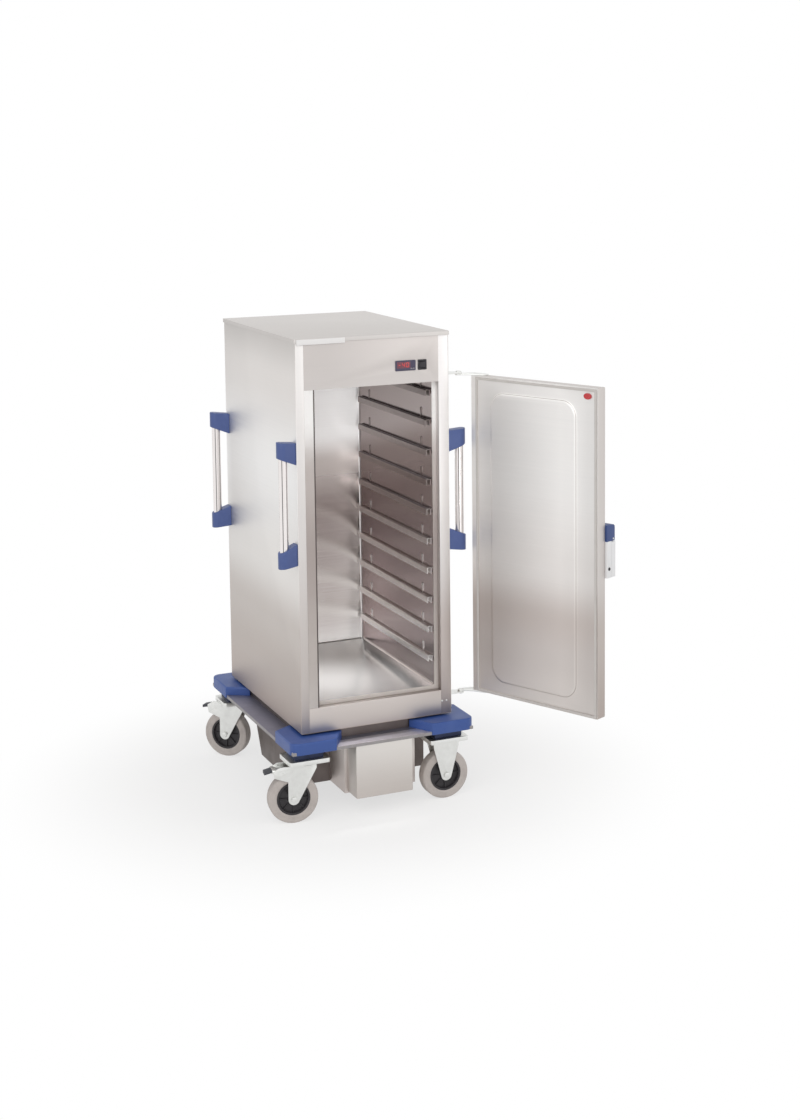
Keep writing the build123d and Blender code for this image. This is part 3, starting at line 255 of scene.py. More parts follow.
# Chamber: left bright from the rolls, so it mirrors more sharply. The walls' ramps are painted
# reflection and light: the back wall pale low down and at the top, darker between. Its floor is only
# 0.6 metallic, so it takes some plain light and stays pale, which bare steel would not do.
back_wall_sheet = ground_sheet("stainless_chamber_back_rolled", [
    (0.36, "#F6F4F2"), (0.52, "#D8D2CE"), (0.88, "#AAA09C"), (1.02, "#C4BCB8"), (1.13, "#FCFBFA"),
    (1.40, "#FCFBFA")], roughness=0.13, dull_top=0.5)
side_wall_sheet = ground_sheet("stainless_chamber_side_rolled", [
    (0.36, "#C2B9B9"), (0.75, "#BAB0B1"), (1.05, "#D4CBCA"), (1.40, "#C0B6B4")], roughness=0.16)
chamber_floor_sheet = ground_sheet("stainless_chamber_floor_rolled", [
    (0.30, "#FCFBFA"), (0.45, "#FCFBFA")], roughness=0.15, metallic=0.6)
# The back corners' coves are pale all over: a painted highlight along those corners.
cove_sheet = ground_sheet("stainless_cove_ground", [
    (0.36, "#F4F2F1"), (1.40, "#F4F2F1")], roughness=0.35)
# Machine cover and nose: the same steel near the floor, warm and low in contrast, darker towards
# the floor as painted shade.
cover_sheet = ground_sheet("stainless_cover_ground", [(0.06, "#CAC3BE"), (0.25, "#D8D4D0")])
nose_sheet = ground_sheet("stainless_nose_ground", [(0.06, "#CBC2BE"), (0.25, "#D8D2CE")])
print("ground sheet finishes ready")

# %% [markdown]
# ## Rails' finish
# The rails are rolled from the same sheet, but what they mirror differs by height. The upper ledges
# mirror the dark ceiling and read as dark lines, and the lower ledges and lips catch the light from
# the opening and read as bright bars. The finish paints this reflection, light and shade into the
# colour as two ramps over the height, one for faces that look up and one for the rest, and the
# face's own direction chooses between them.

# %% Rolled rail sheet
rail_sheet, tree, shader, place = new_finish("stainless_rail_rolled", {"Metallic": 1.0, "Roughness": 0.3})
# Painted light and shade on the lips, painted reflection and light on the ledges, by height.
lip_painted_light_shade = height_ramp(tree, place, [
    (0.40, "#FAF9F8"), (0.80, "#F2EFED"), (1.05, "#B4A9A6"), (1.40, "#A89E9C")])
ledge_painted_reflection_light = height_ramp(tree, place, [
    (0.40, "#F2F0EE"), (0.75, "#D8D2CF"), (0.98, "#6A5E62"), (1.40, "#4A4046")])
face_direction = add(tree, "ShaderNodeNewGeometry").outputs["True Normal"]
upward = add(tree, "ShaderNodeSeparateXYZ", inputs={"Vector": face_direction}).outputs["Z"]
on_ledge = add(tree, "ShaderNodeMapRange", inputs={"Value": upward, "From Min": 0.3, "From Max": 0.7})
specks = add(tree, "ShaderNodeTexNoise", inputs={"Vector": place, "Scale": 60.0, "Detail": 3.0})
rail_painted_light_shade = add(tree, "ShaderNodeMix", {"data_type": "RGBA"}, {
    0: on_ledge.outputs["Result"], 6: lip_painted_light_shade, 7: ledge_painted_reflection_light})
wear = add(tree, "ShaderNodeMapRange", inputs={
    "Value": specks.outputs["Fac"], "From Min": 0.3, "From Max": 0.7, "To Min": 0.9, "To Max": 1.0})
worn_tone = add(tree, "ShaderNodeVectorMath", {"operation": "SCALE"}, {
    0: rail_painted_light_shade.outputs[2], "Scale": wear.outputs["Result"]})
tree.links.new(worn_tone.outputs["Vector"], shader.inputs["Base Color"])
print("rail finish ready")

# %% [markdown]
# ## Other metals
# The casters are pressed steel, galvanised by electroplating to a bright, slightly cloudy white.
# The platform's deck and the cooling unit's tray are dull zinc sheet, drawn as dark slate below
# the cabinet: that darkness is painted shade. The grips are anodised aluminium tube.

# %% Plated, dull and anodised metal
def plain_metal(name, colour, dark_colour, roughness, patch):
    """Metal with cloudy patches of a second tone; patch is their size in metres."""
    material, tree, shader, place = new_finish(name, {"Metallic": 1.0})
    cloud = add(tree, "ShaderNodeTexNoise", inputs={
        "Vector": place, "Scale": 1 / patch, "Detail": 4.0, "Roughness": 0.6})
    tone = add(tree, "ShaderNodeMix", {"data_type": "RGBA"}, {
        0: cloud.outputs["Fac"], 6: linear(dark_colour), 7: linear(colour)})
    rough = add(tree, "ShaderNodeMapRange", inputs={
        "Value": cloud.outputs["Fac"], "From Min": 0.3, "From Max": 0.7,
        "To Min": roughness + 0.08, "To Max": roughness - 0.04})
    finish_with(tree, shader, tone.outputs[2], rough.outputs["Result"], cloud.outputs["Fac"],
                0.08, 0.0003)
    return material


# Zinc gives the fittings a bright white with faint clouds.
zinc = plain_metal("steel_zinc_plated", "#ECEDEB", "#D6D6D3", 0.34, 0.02)
# Deck, tray and spacers are dull steel, drawn darker than that steel is: their slate, brown-grey and
# navy tones are painted shade. The deck's front strip is pale with painted light.
deck_steel_painted_shade = plain_metal("steel_deck_dull", "#9E9CAA", "#878593", 0.55, 0.05)
deck_front_painted_light = plain_metal("steel_deck_front_dull", "#DAD6DC", "#C4C0C8", 0.55, 0.05)
tray_steel_painted_shade = plain_metal("steel_tray_dull", "#7C7370", "#625A57", 0.5, 0.08)
spacer_painted_shade = plain_metal("steel_spacer_dull", "#4A5068", "#3A4058", 0.55, 0.04)
flange_steel = plain_metal("stainless_flange_rolled", "#A19D9D", "#8A8788", 0.45, 0.03)
# Anodising gives the grips a pale satin; the dark lines in their grooves are painted shade.
anodised = plain_metal("aluminium_anodised", "#F4EFEE", "#E8E3E1", 0.3, 0.05)
groove_painted_shade = plain_metal("aluminium_groove_dark", "#7E7A7A", "#5E5A5B", 0.6, 0.02)
bare_aluminium = plain_metal("aluminium_fin_stock", "#D8D8D8", "#BFBFC0", 0.4, 0.01)
print("metals ready")

# %% [markdown]
# ## Plastics and rubber
# Moulded plastic copies the fine etched grain of its mould, which softens its shine, and it picks
# up pale scuffs in use. Rubber is duller, with dust in its grain. The grain is about 0.3 mm in the
# real parts; here it is drawn at 1.2 mm so that it shows.

# %% Moulded plastics, rubber and foam
def moulded(name, colour, roughness=0.42, grain=0.0012, scuff="#FFFFFF", scuff_share=0.08,
            bump_depth=0.12):
    """Moulded plastic or rubber: etched grain, slow unevenness and faint scuffs.

    colour is one hex colour, or tones for the height as in height_ramp.
    """
    material, tree, shader, place = new_finish(name, {"IOR": 1.5})
    body_tone = linear(colour) if isinstance(colour, str) else height_ramp(tree, place, colour)
    grain_noise = add(tree, "ShaderNodeTexNoise", inputs={
        "Vector": place, "Scale": 1 / grain, "Detail": 2.0})
    slow = add(tree, "ShaderNodeTexNoise", inputs={
        "Vector": place, "Scale": 14.0, "Detail": 5.0, "Roughness": 0.65})
    amount = add(tree, "ShaderNodeMapRange", inputs={
        "Value": slow.outputs["Fac"], "From Min": 0.5, "From Max": 0.8,
        "To Min": 0.0, "To Max": scuff_share})
    tone = add(tree, "ShaderNodeMix", {"data_type": "RGBA"}, {
        0: amount.outputs["Result"], 6: body_tone, 7: linear(scuff)})
    rough = add(tree, "ShaderNodeMapRange", inputs={
        "Value": slow.outputs["Fac"], "From Min": 0.3, "From Max": 0.7,
        "To Min": roughness - 0.04, "To Max": roughness + 0.1})
    finish_with(tree, shader, tone.outputs[2], rough.outputs["Result"], grain_noise.outputs["Fac"],
                bump_depth, 0.0003)
    return material


# Bumpers, blocks and latch: a satin sheen that shows their rounding, and faint scuffs.
bumper_blue = moulded("polyethylene_blue", "#38569A", 0.42, scuff="#8FA3D8", scuff_share=0.1)
block_blue = moulded("nylon_blue", "#485A90", 0.38, scuff="#93A6D4", scuff_share=0.1)
latch_blue = moulded("nylon_dark_blue", "#34497F", 0.38, scuff="#7388B8")
latch_grey = moulded("abs_light_grey", "#EDEDEE", 0.35, scuff="#C9C5C2")
key_grey = moulded("abs_key_grey", "#8F8B93", 0.4, scuff="#B4B0B6", scuff_share=0.15)
# The jamb's ramp stands in for the light that reaches it in the photograph.
frame_grey = moulded("pvc_frame_grey", [
    (0.36, "#CFC8C3"), (0.50, "#C2BAB5"), (0.87, "#AEA39F"), (1.12, "#C2B9B5"),
    (1.28, "#FAF8F6")], 0.45, scuff="#A0968F", scuff_share=0.2)
# Plate and plug are smooth and shine sharply. Hubs and panel are darker and duller, and so is
# the jamb's left edge band, which is painted shade.
plate_white = moulded("acrylic_plate_white", "#EFEDEC", 0.2, bump_depth=0.02, scuff_share=0.0)
hub_black = moulded("nylon_black", "#2E2B2E", 0.5, scuff="#6A6468", scuff_share=0.15)
panel_black = moulded("abs_black", "#26242A", 0.32, scuff="#5A5560", scuff_share=0.05)
bezel_slate = moulded("abs_slate", "#454058", 0.32, scuff="#6A6678", scuff_share=0.05)
badge_red = moulded("acrylic_red", "#C63A3E", 0.22, bump_depth=0.02, scuff="#E08A8A")
jamb_edge_painted_shade = moulded("rubber_bead_dark", "#4F4544", 0.6, scuff="#6A5F5D")
# Rubber and foam are dull, tyre and foam with a coarser grain. The motor's enamel shines.
tyre_grey = moulded("rubber_grey", "#C4BCB7", 0.72, grain=0.0015, scuff="#8A8280", scuff_share=0.5,
                    bump_depth=0.3)
seal_grey = moulded("rubber_seal_grey", "#CDC8C4", 0.6, scuff="#A9A19C", scuff_share=0.25)
pedal_black = moulded("rubber_pedal_dark", "#45464C", 0.6, scuff="#77787E", scuff_share=0.3)
foam_cream = moulded("polyurethane_foam", "#D9CBA6", 0.9, grain=0.003, bump_depth=0.5)
motor_black = moulded("enamel_black", "#1E1E20", 0.35, scuff="#4A4A4C")
print("plastics ready")

# %% [markdown]
# ## The display's window and digits
# The controller shows red light-emitting digits behind a dark red window. The window is dark
# plastic with a hard gloss, and the digits glow a little, so they read as lit and not as paint.

# %% Window and lit digits
window_red, tree, shader, place = new_finish("acrylic_window_red", {"Roughness": 0.12, "IOR": 1.49})
haze = add(tree, "ShaderNodeTexNoise", inputs={"Vector": place, "Scale": 90.0})
tint = add(tree, "ShaderNodeMix", {"data_type": "RGBA"}, {
    0: haze.outputs["Fac"], 6: linear("#6A3A48"), 7: linear("#8A5560")})
tree.links.new(tint.outputs[2], shader.inputs["Base Color"])

digit_glow, tree, shader, place = new_finish("digit_red_lit", {
    "Roughness": 0.4, "Emission Color": linear("#E0393B"), "Emission Strength": 0.35})
spread = add(tree, "ShaderNodeTexNoise", inputs={"Vector": place, "Scale": 400.0})
warm = add(tree, "ShaderNodeMix", {"data_type": "RGBA"}, {
    0: spread.outputs["Fac"], 6: linear("#C02A2C"), 7: linear("#E2504C")})
tree.links.new(warm.outputs[2], shader.inputs["Base Color"])
print("display finishes ready")

# %% [markdown]
# ## Small tools for shapes
# Sheet metal is never quite sharp: a folded edge is round. A piece is either folded from a box of
# faces that gets round edges and then a thickness, or it is a copy of the CAD solid whose edges
# are rounded. Each finished piece is one plain mesh that stands where its CAD solid stands.

# %% Shape helpers
smooth_below = math.radians(35)


def piece_from(name, source, *finishes):
    """An object from a mesh or bmesh, smooth except at sharp edges."""
    mesh = source
    if isinstance(source, bmesh.types.BMesh):
        mesh = bpy.data.meshes.new(name)
        source.to_mesh(mesh)
        source.free()
    piece = bpy.data.objects.new(name, mesh)
    bpy.context.scene.collection.objects.link(piece)
    for finish in finishes:
        mesh.materials.append(finish)
    mesh.shade_smooth()
    mesh.set_sharp_from_angle(angle=smooth_below)
    return piece


def modify(piece, kind, **settings):
    modifier = piece.modifiers.new(kind.title(), kind)
    for name, value in settings.items():
        setattr(modifier, name, value)
    return modifier


def made_plain(piece):
    """Turns the modified piece into one plain mesh and drops its modifiers."""
    graph = bpy.context.evaluated_depsgraph_get()
    mesh = bpy.data.meshes.new_from_object(piece.evaluated_get(graph), depsgraph=graph)
    piece.modifiers.clear()
    piece.data = mesh
    mesh.set_sharp_from_angle(angle=smooth_below)
    return piece


def cube_between(bm, low, high):
    """Adds a box between two corners and returns its points."""
    made = bmesh.ops.create_cube(bm, size=1.0)["verts"]
    for vert in made:
        vert.co = [(a + b) / 2 + c * (b - a) for c, a, b in zip(vert.co, low, high)]
    return made


def band(bm, first, second):
    """Faces between two closed loops of as many points."""
    faces = []
    for i in range(len(first)):
        j = (i + 1) % len(first)
        faces.append(bm.faces.new((first[i], first[j], second[j], second[i])))
    return faces


def face_the_way(bm, sense):
    """Makes the faces agree; sense(face) is above zero where a face looks the right way."""
    bmesh.ops.recalc_face_normals(bm, faces=bm.faces)
    if sum(sense(f) * f.calc_area() for f in bm.faces) < 0:
        bmesh.ops.reverse_faces(bm, faces=bm.faces)


def cut_at(piece, point, normal):
    """Cuts the faces of a piece along a plane, so that each side can have its own finish."""
    bm = bmesh.new()
    bm.from_mesh(piece.data)
    everything = list(bm.verts) + list(bm.edges) + list(bm.faces)
    bmesh.ops.bisect_plane(bm, geom=everything, plane_co=point, plane_no=normal)
    bm.to_mesh(piece.data)
    bm.free()


def stands_for(piece, *node_names):
    """Rides on the body of the CAD nodes and hides them, so that it stands in their place."""
    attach(piece, cad_nodes[node_names[0]]["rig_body"])
    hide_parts(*node_names)
    return piece


def softened(node_name, finish, width, segments=2):
    """A copy of a CAD solid with rounded edges, in place of it."""
    bm = bmesh.new()
    bm.from_mesh(cad_nodes[node_name].data)
    bmesh.ops.remove_doubles(bm, verts=bm.verts, dist=2e-6)
    bmesh.ops.dissolve_limit(bm, angle_limit=math.radians(0.6), verts=bm.verts, edges=bm.edges)
    piece = piece_from(node_name + "_soft", bm, finish)
    modify(piece, "BEVEL", width=width, segments=segments, limit_method="ANGLE",
           angle_limit=math.radians(40), use_clamp_overlap=True)
    made_plain(piece)
    return stands_for(piece, node_name)


print("shape helpers ready")

# %% [markdown]
# ## Folding a box of sheet
# Shell, lid, deck and door skin are flat blanks bent at their edges. A box of faces loses its open
# sides, its other edges are rounded as a press brake leaves them, and the sheet's thickness grows
# to the inside. That is shorter than drawing each flange, and the outer size stays exact.

# %% Folded sheet boxes
def folded_box(name, low, high, open_sides, fold, sheet, *finishes):
    """A box folded from sheet; open_sides are outward directions such as (0, -1, 0)."""
    bm = bmesh.new()
    cube_between(bm, low, high)
    bm.normal_update()
    gone = [f for f in bm.faces if any(f.normal.dot(Vector(side)) > 0.9 for side in open_sides)]
    bmesh.ops.delete(bm, geom=gone, context="FACES_ONLY")
    folds = [e for e in bm.edges if len(e.link_faces) == 2]
    bmesh.ops.bevel(bm, geom=folds, offset=fold, segments=3, profile=0.5, affect="EDGES")
    centre = (Vector(low) + Vector(high)) / 2
    face_the_way(bm, lambda f: f.normal.dot(f.calc_center_median() - centre))
    piece = piece_from(name, bm, *finishes)
    modify(piece, "SOLIDIFY", thickness=sheet, offset=-1.0, use_even_offset=True)
    return made_plain(piece)


print("folding helper ready")

# %% [markdown]
# ## Cabinet, lid and cover
# The cabinet's shell is one sheet bent round three sides, and the lid is a tray turned upside
# down over it. Both are made as they are in the workshop: flat faces, round folds, then the
# sheet's thickness to the inside, so that the outer size stays that of the solid.

# %% Folded shell, lid and machine cover
sheet = 0.0015
front_side, back_side, top_side, under_side = (0, -1, 0), (0, 1, 0), (0, 0, 1), (0, 0, -1)

folded_specs = {
    "cabinet_shell": ([front_side, top_side], 0.0025, cabinet_sheet),
    "cabinet_lid": ([under_side], 0.0022, cabinet_sheet),
    "machine_cover": ([back_side], 0.003, cover_sheet),
}
for node_name, (open_sides, fold, finish) in folded_specs.items():
    low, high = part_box(node_name)
    folded = folded_box(node_name + "_folded", low, high, open_sides, fold, sheet, finish)
    stands_for(folded, node_name)
    print(node_name, "folded,", len(folded.data.polygons), "faces")

# %% [markdown]
# ## Front frame
# Posts, header and sill are folded strips. Their edges are rounded copies of the solids, because
# they are cut for the controller and meet in butt seams. The frame of the opening is plastic.

# %% Posts, header, sill and jamb
strip_edge = 0.0006
posts = softened("front_posts", post_sheet, strip_edge)
posts.data.materials.append(shaded_post_sheet)
# The right post's faces take the second ramp: painted light and shade with more contrast.
for face in posts.data.polygons:
    face.material_index = 1 if face.center.x > 0 else 0
softened("header_panel", front_sheet, strip_edge)
softened("sill_panel", front_sheet, strip_edge)
jamb = softened("jamb_frame", frame_grey, 0.001)
# A narrow band along the opening's left edge takes a dark finish: painted shade.
shade_band_start, shade_band_end = -0.2015, -0.196
cut_at(jamb, (shade_band_start, 0, 0), (1, 0, 0))
jamb.data.materials.append(jamb_edge_painted_shade)
for face in jamb.data.polygons:
    if shade_band_start < face.center.x < shade_band_end:
        face.material_index = 1
softened("name_plate_blank", plate_white, 0.0004)
print("front frame ready")

# %% [markdown]
# ## Tray chamber
# The chamber is a welded box with coved corners, so that it can be wiped clean. It is built from
# the inside faces: a box with rounded corners, open at the front, whose wall grows outwards. The
# evaporator's pocket is a second, smaller box above an opening in the ceiling.

# %% Coved liner with the pocket above
cove = 0.006
liner_sheet = 0.001
liner_low, liner_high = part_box("cabinet_liner")
pocket_rise = 0.099
chamber_top = liner_high.z - liner_sheet - pocket_rise
pocket_x = 0.180
pocket_y = (-0.260, 0.200)
near_ceiling = chamber_top - 0.001


def inner_box(bm, low, high, open_direction, rounding):
    """Inside faces of a box that is open on one side, with rounded inner corners."""
    made = cube_between(bm, low, high)
    faces = {f for v in made for f in v.link_faces}
    for face in faces:
        face.normal_update()
    gone = [f for f in faces if f.normal.dot(Vector(open_direction)) > 0.9]
    bmesh.ops.delete(bm, geom=gone, context="FACES_ONLY")
    folds = [e for v in made if v.is_valid for e in v.link_edges if len(e.link_faces) == 2]
    bmesh.ops.bevel(bm, geom=list(set(folds)), offset=rounding, segments=3, profile=0.5,
                    affect="EDGES")


bm = bmesh.new()
chamber_low = (liner_low.x + liner_sheet, liner_low.y, liner_low.z + liner_sheet)
chamber_high = (liner_high.x - liner_sheet, liner_high.y - liner_sheet, chamber_top)
inner_box(bm, chamber_low, chamber_high, (0, -1, 0), cove)
for axis, places in ((0, (-pocket_x, pocket_x)), (1, pocket_y)):
    for place in places:
        normal = Vector((0.0, 0.0, 0.0))
        normal[axis] = 1.0
        point = normal * place
        ceiling = [f for f in bm.faces
                   if f.normal.z > 0.99 and f.calc_center_median().z > near_ceiling]
        parts = ceiling + [e for f in ceiling for e in f.edges] + [v for f in ceiling for v in f.verts]
        bmesh.ops.bisect_plane(bm, geom=list(set(parts)), plane_co=point, plane_no=normal)
        bm.normal_update()


def over_pocket(face):
    centre = face.calc_center_median()
    inside = abs(centre.x) < pocket_x and pocket_y[0] < centre.y < pocket_y[1]
    return inside and centre.z > near_ceiling


bmesh.ops.delete(bm, geom=[f for f in bm.faces if over_pocket(f)], context="FACES_ONLY")
inner_box(bm, (-pocket_x, pocket_y[0], chamber_top),
          (pocket_x, pocket_y[1], liner_high.z - liner_sheet), (0, 0, -1), 0.001)
bmesh.ops.remove_doubles(bm, verts=bm.verts, dist=1e-5)
chamber_middle = Vector((0, 0, 0.9))
face_the_way(bm, lambda f: f.normal.dot(chamber_middle - f.calc_center_median()))
liner = piece_from("cabinet_liner_coved", bm, back_wall_sheet, side_wall_sheet, chamber_floor_sheet,
                   cove_sheet)
modify(liner, "SOLIDIFY", thickness=liner_sheet, offset=-1.0, use_even_offset=True)
made_plain(liner)
for face in liner.data.polygons:
    if abs(face.normal.x) > 0.97:
        face.material_index = 1
    elif abs(face.normal.z) > 0.97 and face.center.z < liner_low.z + 0.01:
        face.material_index = 2
    elif abs(face.normal.x) > 0.2 and abs(face.normal.y) > 0.2:
        face.material_index = 3
stands_for(liner, "cabinet_liner")
print("liner", len(liner.data.polygons), "faces")

# %% [markdown]
# ## Trees that repeat a piece
# Rails, studs and fittings come in rows. A Geometry Nodes tree takes the object's own mesh and
# sets it out in rows and columns, so ten rails stay one rail and two numbers. A second tree sets
# copies out in a ring, for the ribs of a wheel.

# %% Rows and columns, and a ring
def new_tree(name, numbers):
    """A tree with a geometry input, the named number inputs and a finish input."""
    tree = bpy.data.node_groups.new(name, "GeometryNodeTree")
    tree.interface.new_socket("Geometry", in_out="INPUT", socket_type="NodeSocketGeometry")
    for label, kind in numbers.items():
        tree.interface.new_socket(label, in_out="INPUT", socket_type=kind)
    tree.interface.new_socket("Finish", in_out="INPUT", socket_type="NodeSocketMaterial")
    tree.interface.new_socket("Geometry", in_out="OUTPUT", socket_type="NodeSocketGeometry")
    return tree, add(tree, "NodeGroupInput").outputs


def close_tree(tree, given, geometry):
    """Ends a tree with real geometry and its finish."""
    real = add(tree, "GeometryNodeRealizeInstances", inputs={"Geometry": geometry})
    finished = add(tree, "GeometryNodeSetMaterial", inputs={
        "Geometry": real.outputs["Geometry"], "Material": given["Finish"]})
    add(tree, "NodeGroupOutput", inputs={"Geometry": finished.outputs["Geometry"]})


rows_tree, given = new_tree("Rows and columns", {
    "Columns": "NodeSocketInt", "Column step": "NodeSocketVector",
    "Rows": "NodeSocketInt", "Row step": "NodeSocketVector"})
copies = given["Geometry"]
for count, step in (("Columns", "Column step"), ("Rows", "Row step")):
    points = add(rows_tree, "GeometryNodeMeshLine", inputs={
        "Count": given[count], "Offset": given[step]})
    set_out = add(rows_tree, "GeometryNodeInstanceOnPoints", inputs={
        "Points": points.outputs["Mesh"], "Instance": copies})
    copies = add(rows_tree, "GeometryNodeRealizeInstances", inputs={
        "Geometry": set_out.outputs["Instances"]}).outputs["Geometry"]
close_tree(rows_tree, given, copies)

ring_tree, given = new_tree("Ring", {"Count": "NodeSocketInt"})
start = add(ring_tree, "GeometryNodeMeshLine", inputs={
    "Count": given["Count"], "Offset": (0.0, 0.0, 0.0)})
step_angle = add(ring_tree, "ShaderNodeMath", {"operation": "DIVIDE"}, {
    0: math.tau, 1: given["Count"]})
angle = add(ring_tree, "ShaderNodeMath", {"operation": "MULTIPLY"}, {
    0: add(ring_tree, "GeometryNodeInputIndex").outputs["Index"], 1: step_angle.outputs[0]})
euler = add(ring_tree, "ShaderNodeCombineXYZ", inputs={"Z": angle.outputs[0]})
turned = add(ring_tree, "FunctionNodeEulerToRotation", inputs={"Euler": euler.outputs["Vector"]})
set_out = add(ring_tree, "GeometryNodeInstanceOnPoints", inputs={
    "Points": start.outputs["Mesh"], "Instance": given["Geometry"],
    "Rotation": turned.outputs["Rotation"]})
close_tree(ring_tree, given, set_out.outputs["Instances"])


def repeated(piece, tree, finish, **values):
    """Runs a tree on the piece with the given inputs and keeps the plain mesh."""
    modifier = modify(piece, "NODES", node_group=tree)
    values["Finish"] = finish
    for item in tree.interface.items_tree:
        if item.in_out == "INPUT" and item.name.replace(" ", "_") in values:
            modifier[item.identifier] = values[item.name.replace(" ", "_")]
    return made_plain(piece)


print("trees ready:", [tree.name for tree in bpy.data.node_groups])

# %% [markdown]
# ## Tray rails
# Each rail is a strip rolled into an upside-down U: the outer leg lies on the wall, the top is
# the ledge that carries the tray, and the inner leg stiffens it. Two drilled tabs hang it on
# studs. The strip is drawn as its centre line with round folds, drawn out over the rail's length
# and then given the sheet's thickness.

# %% One rail
rail_low, rail_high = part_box("tray_rails_right")
rail_count = 10
rail_drop = 0.020
tab_rise = 0.032
rail_pitch = (rail_high.z - tab_rise - rail_low.z - rail_drop) / (rail_count - 1)
rail_fold = 0.002
tab_places = (-0.246, 0.202)
tab_width = 0.009
stud_rise = 0.026
stud_hole = 0.0054
hole_steps = 24


def rounded_path(corners, radius, steps=3):
    """A path through corner points, each inner corner replaced by a short arc."""
    path = [Vector(corners[0])]
    for before, corner, after in zip(corners, corners[1:], corners[2:]):
        corner = Vector(corner)
        a = corner + (Vector(before) - corner).normalized() * radius
        b = corner + (Vector(after) - corner).normalized() * radius
        for step in range(steps + 1):
            t = step / steps
            path.append(a * (1 - t) ** 2 + corner * 2 * t * (1 - t) + b * t ** 2)
    path.append(Vector(corners[-1]))
    return path


def drawn_out(bm, path, start_y, end_y):
    """Faces between two copies of an X-Z path."""
    near = [bm.verts.new((p.x, start_y, p.y)) for p in path]
    far = [bm.verts.new((p.x, end_y, p.y)) for p in path]
    for i in range(len(path) - 1):
        bm.faces.new((near[i], near[i + 1], far[i + 1], far[i]))


def one_rail(side):
    """The lowest rail of a side; side is +1 for the right wall and -1 for the left."""
    half = sheet / 2
    wall, edge = rail_high.x - half, rail_low.x + half
    top = rail_low.z + rail_drop
    corners = [(wall, rail_low.z), (wall, top - half), (edge, top - half), (edge, rail_low.z)]
    bm = bmesh.new()
    drawn_out(bm, rounded_path(corners, rail_fold), rail_low.y, rail_high.y)
    for place in tab_places:
        centre = (place, top + stud_rise)
        outer, inner = [], []
        for step in range(hole_steps):
            a = math.tau * step / hole_steps
            ray_y, ray_z = math.cos(a), math.sin(a)
            reach = tab_width / 2 / abs(ray_y) if abs(ray_y) > 0.01 else 1.0
            down = (stud_rise + half) / -ray_z if ray_z < -0.01 else 1.0
            rise = tab_rise - stud_rise
            reach = min(reach, down, max(rise, tab_width / 2) if ray_z > 0 else 1.0)
            outer.append(bm.verts.new((wall, centre[0] + ray_y * reach, centre[1] + ray_z * reach)))
            inner.append(bm.verts.new((wall, centre[0] + ray_y * stud_hole / 2,
                                       centre[1] + ray_z * stud_hole / 2)))
        band(bm, outer, inner)
    for vert in bm.verts:
        vert.co.x *= side
    bmesh.ops.recalc_face_normals(bm, faces=bm.faces)
    name = "tray_rails_right_rolled" if side > 0 else "tray_rails_left_rolled"
    rail = piece_from(name, bm, rail_sheet)
    modify(rail, "SOLIDIFY", thickness=sheet, offset=0.0, use_even_offset=True)
    return made_plain(rail)


print("rail of", round((rail_high.y - rail_low.y) * 1000), "mm ready to be drawn")

# %% [markdown]
# ## The rails in their rows
# The real rails are ten equal parts on each wall, hung at an even pitch. So one rail is drawn for
# each wall and the rows tree sets it out, and a change to the rail is a change to all of them.

# %% Ten rails on each wall
for side, node_name in ((1, "tray_rails_right"), (-1, "tray_rails_left")):
    rails = repeated(one_rail(side), rows_tree, rail_sheet, Columns=1, Column_step=(0.0, 0.0, 0.0),
                     Rows=rail_count, Row_step=(0.0, 0.0, rail_pitch))
    stands_for(rails, node_name)
print("rail pitch", round(rail_pitch * 1000, 1), "mm")

# %% [markdown]
# ## Studs
# The rails hang on studs with a low domed head. A stud is a turned shape, so it is drawn as half
# a profile and spun, and the rows tree sets it out along the wall and up it.

# %% A turned shape
def spun(profile, steps, name, *finishes, axis=(1, 0, 0), centre=(0, 0, 0)):
    """Spins a profile of (along, radius) points round an axis through the centre."""
    bm = bmesh.new()
    along = Vector(axis)
    out = along.orthogonal().normalized()
    points = [Vector(centre) + along * a + out * r for a, r in profile]
    verts = [bm.verts.new(p) for p in points]
    edges = [bm.edges.new(pair) for pair in zip(verts, verts[1:])]
    bmesh.ops.spin(bm, geom=verts + edges, cent=Vector(centre), axis=along, angle=math.tau,
                   steps=steps, use_merge=True)
    bmesh.ops.remove_doubles(bm, verts=bm.verts, dist=1e-6)
    bmesh.ops.recalc_face_normals(bm, faces=bm.faces)
    return piece_from(name, bm, *finishes)


stud_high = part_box("rail_studs")[1]
stud_neck, stud_head, head_dome = 0.0025, 0.0045, 0.0018
for side, name in ((1, "right"), (-1, "left")):
    wall = stud_high.x
    face = rail_high.x - sheet - 0.0002
    tip = face - head_dome
    profile = [(0.0, stud_neck), (face - wall, stud_neck), (face - wall, stud_head),
               (face - wall - head_dome * 0.4, stud_head * 0.97),
               (face - wall - head_dome * 0.8, stud_head * 0.7), (tip - wall, 0.0)]
    profile = [(a * side, r) for a, r in profile]
    centre = (wall * side, tab_places[0], rail_low.z + rail_drop + stud_rise)
    stud = spun(profile, 16, f"rail_studs_{name}", rail_sheet, centre=centre)
    repeated(stud, rows_tree, rail_sheet, Columns=len(tab_places),
             Column_step=(0.0, tab_places[1] - tab_places[0], 0.0),
             Rows=rail_count, Row_step=(0.0, 0.0, rail_pitch))
    stands_for(stud, "rail_studs")
print("studs", 2 * len(tab_places) * rail_count)

# %% [markdown]
# ## The door
# The door is two skins over foam. The outer one is a folded tray. The inner one has a raised
# panel pressed into it: the press leaves a soft shoulder with no hard line. The door is drawn
# closed, because its edges are then square to the frame, and turned open with its hinge.

# %% Door placing
hinge_axis = Vector(hinge_point)
door_turn = math.radians(115)
door_open = (Matrix.Translation(hinge_axis) @ Matrix.Rotation(door_turn, 4, "Z")
             @ Matrix.Translation(-hinge_axis))
door_x = (-0.2365, 0.2645)
door_z = (0.3535, 1.3905)
door_face = -0.3592
door_depth = 0.040
door_skin = 0.001


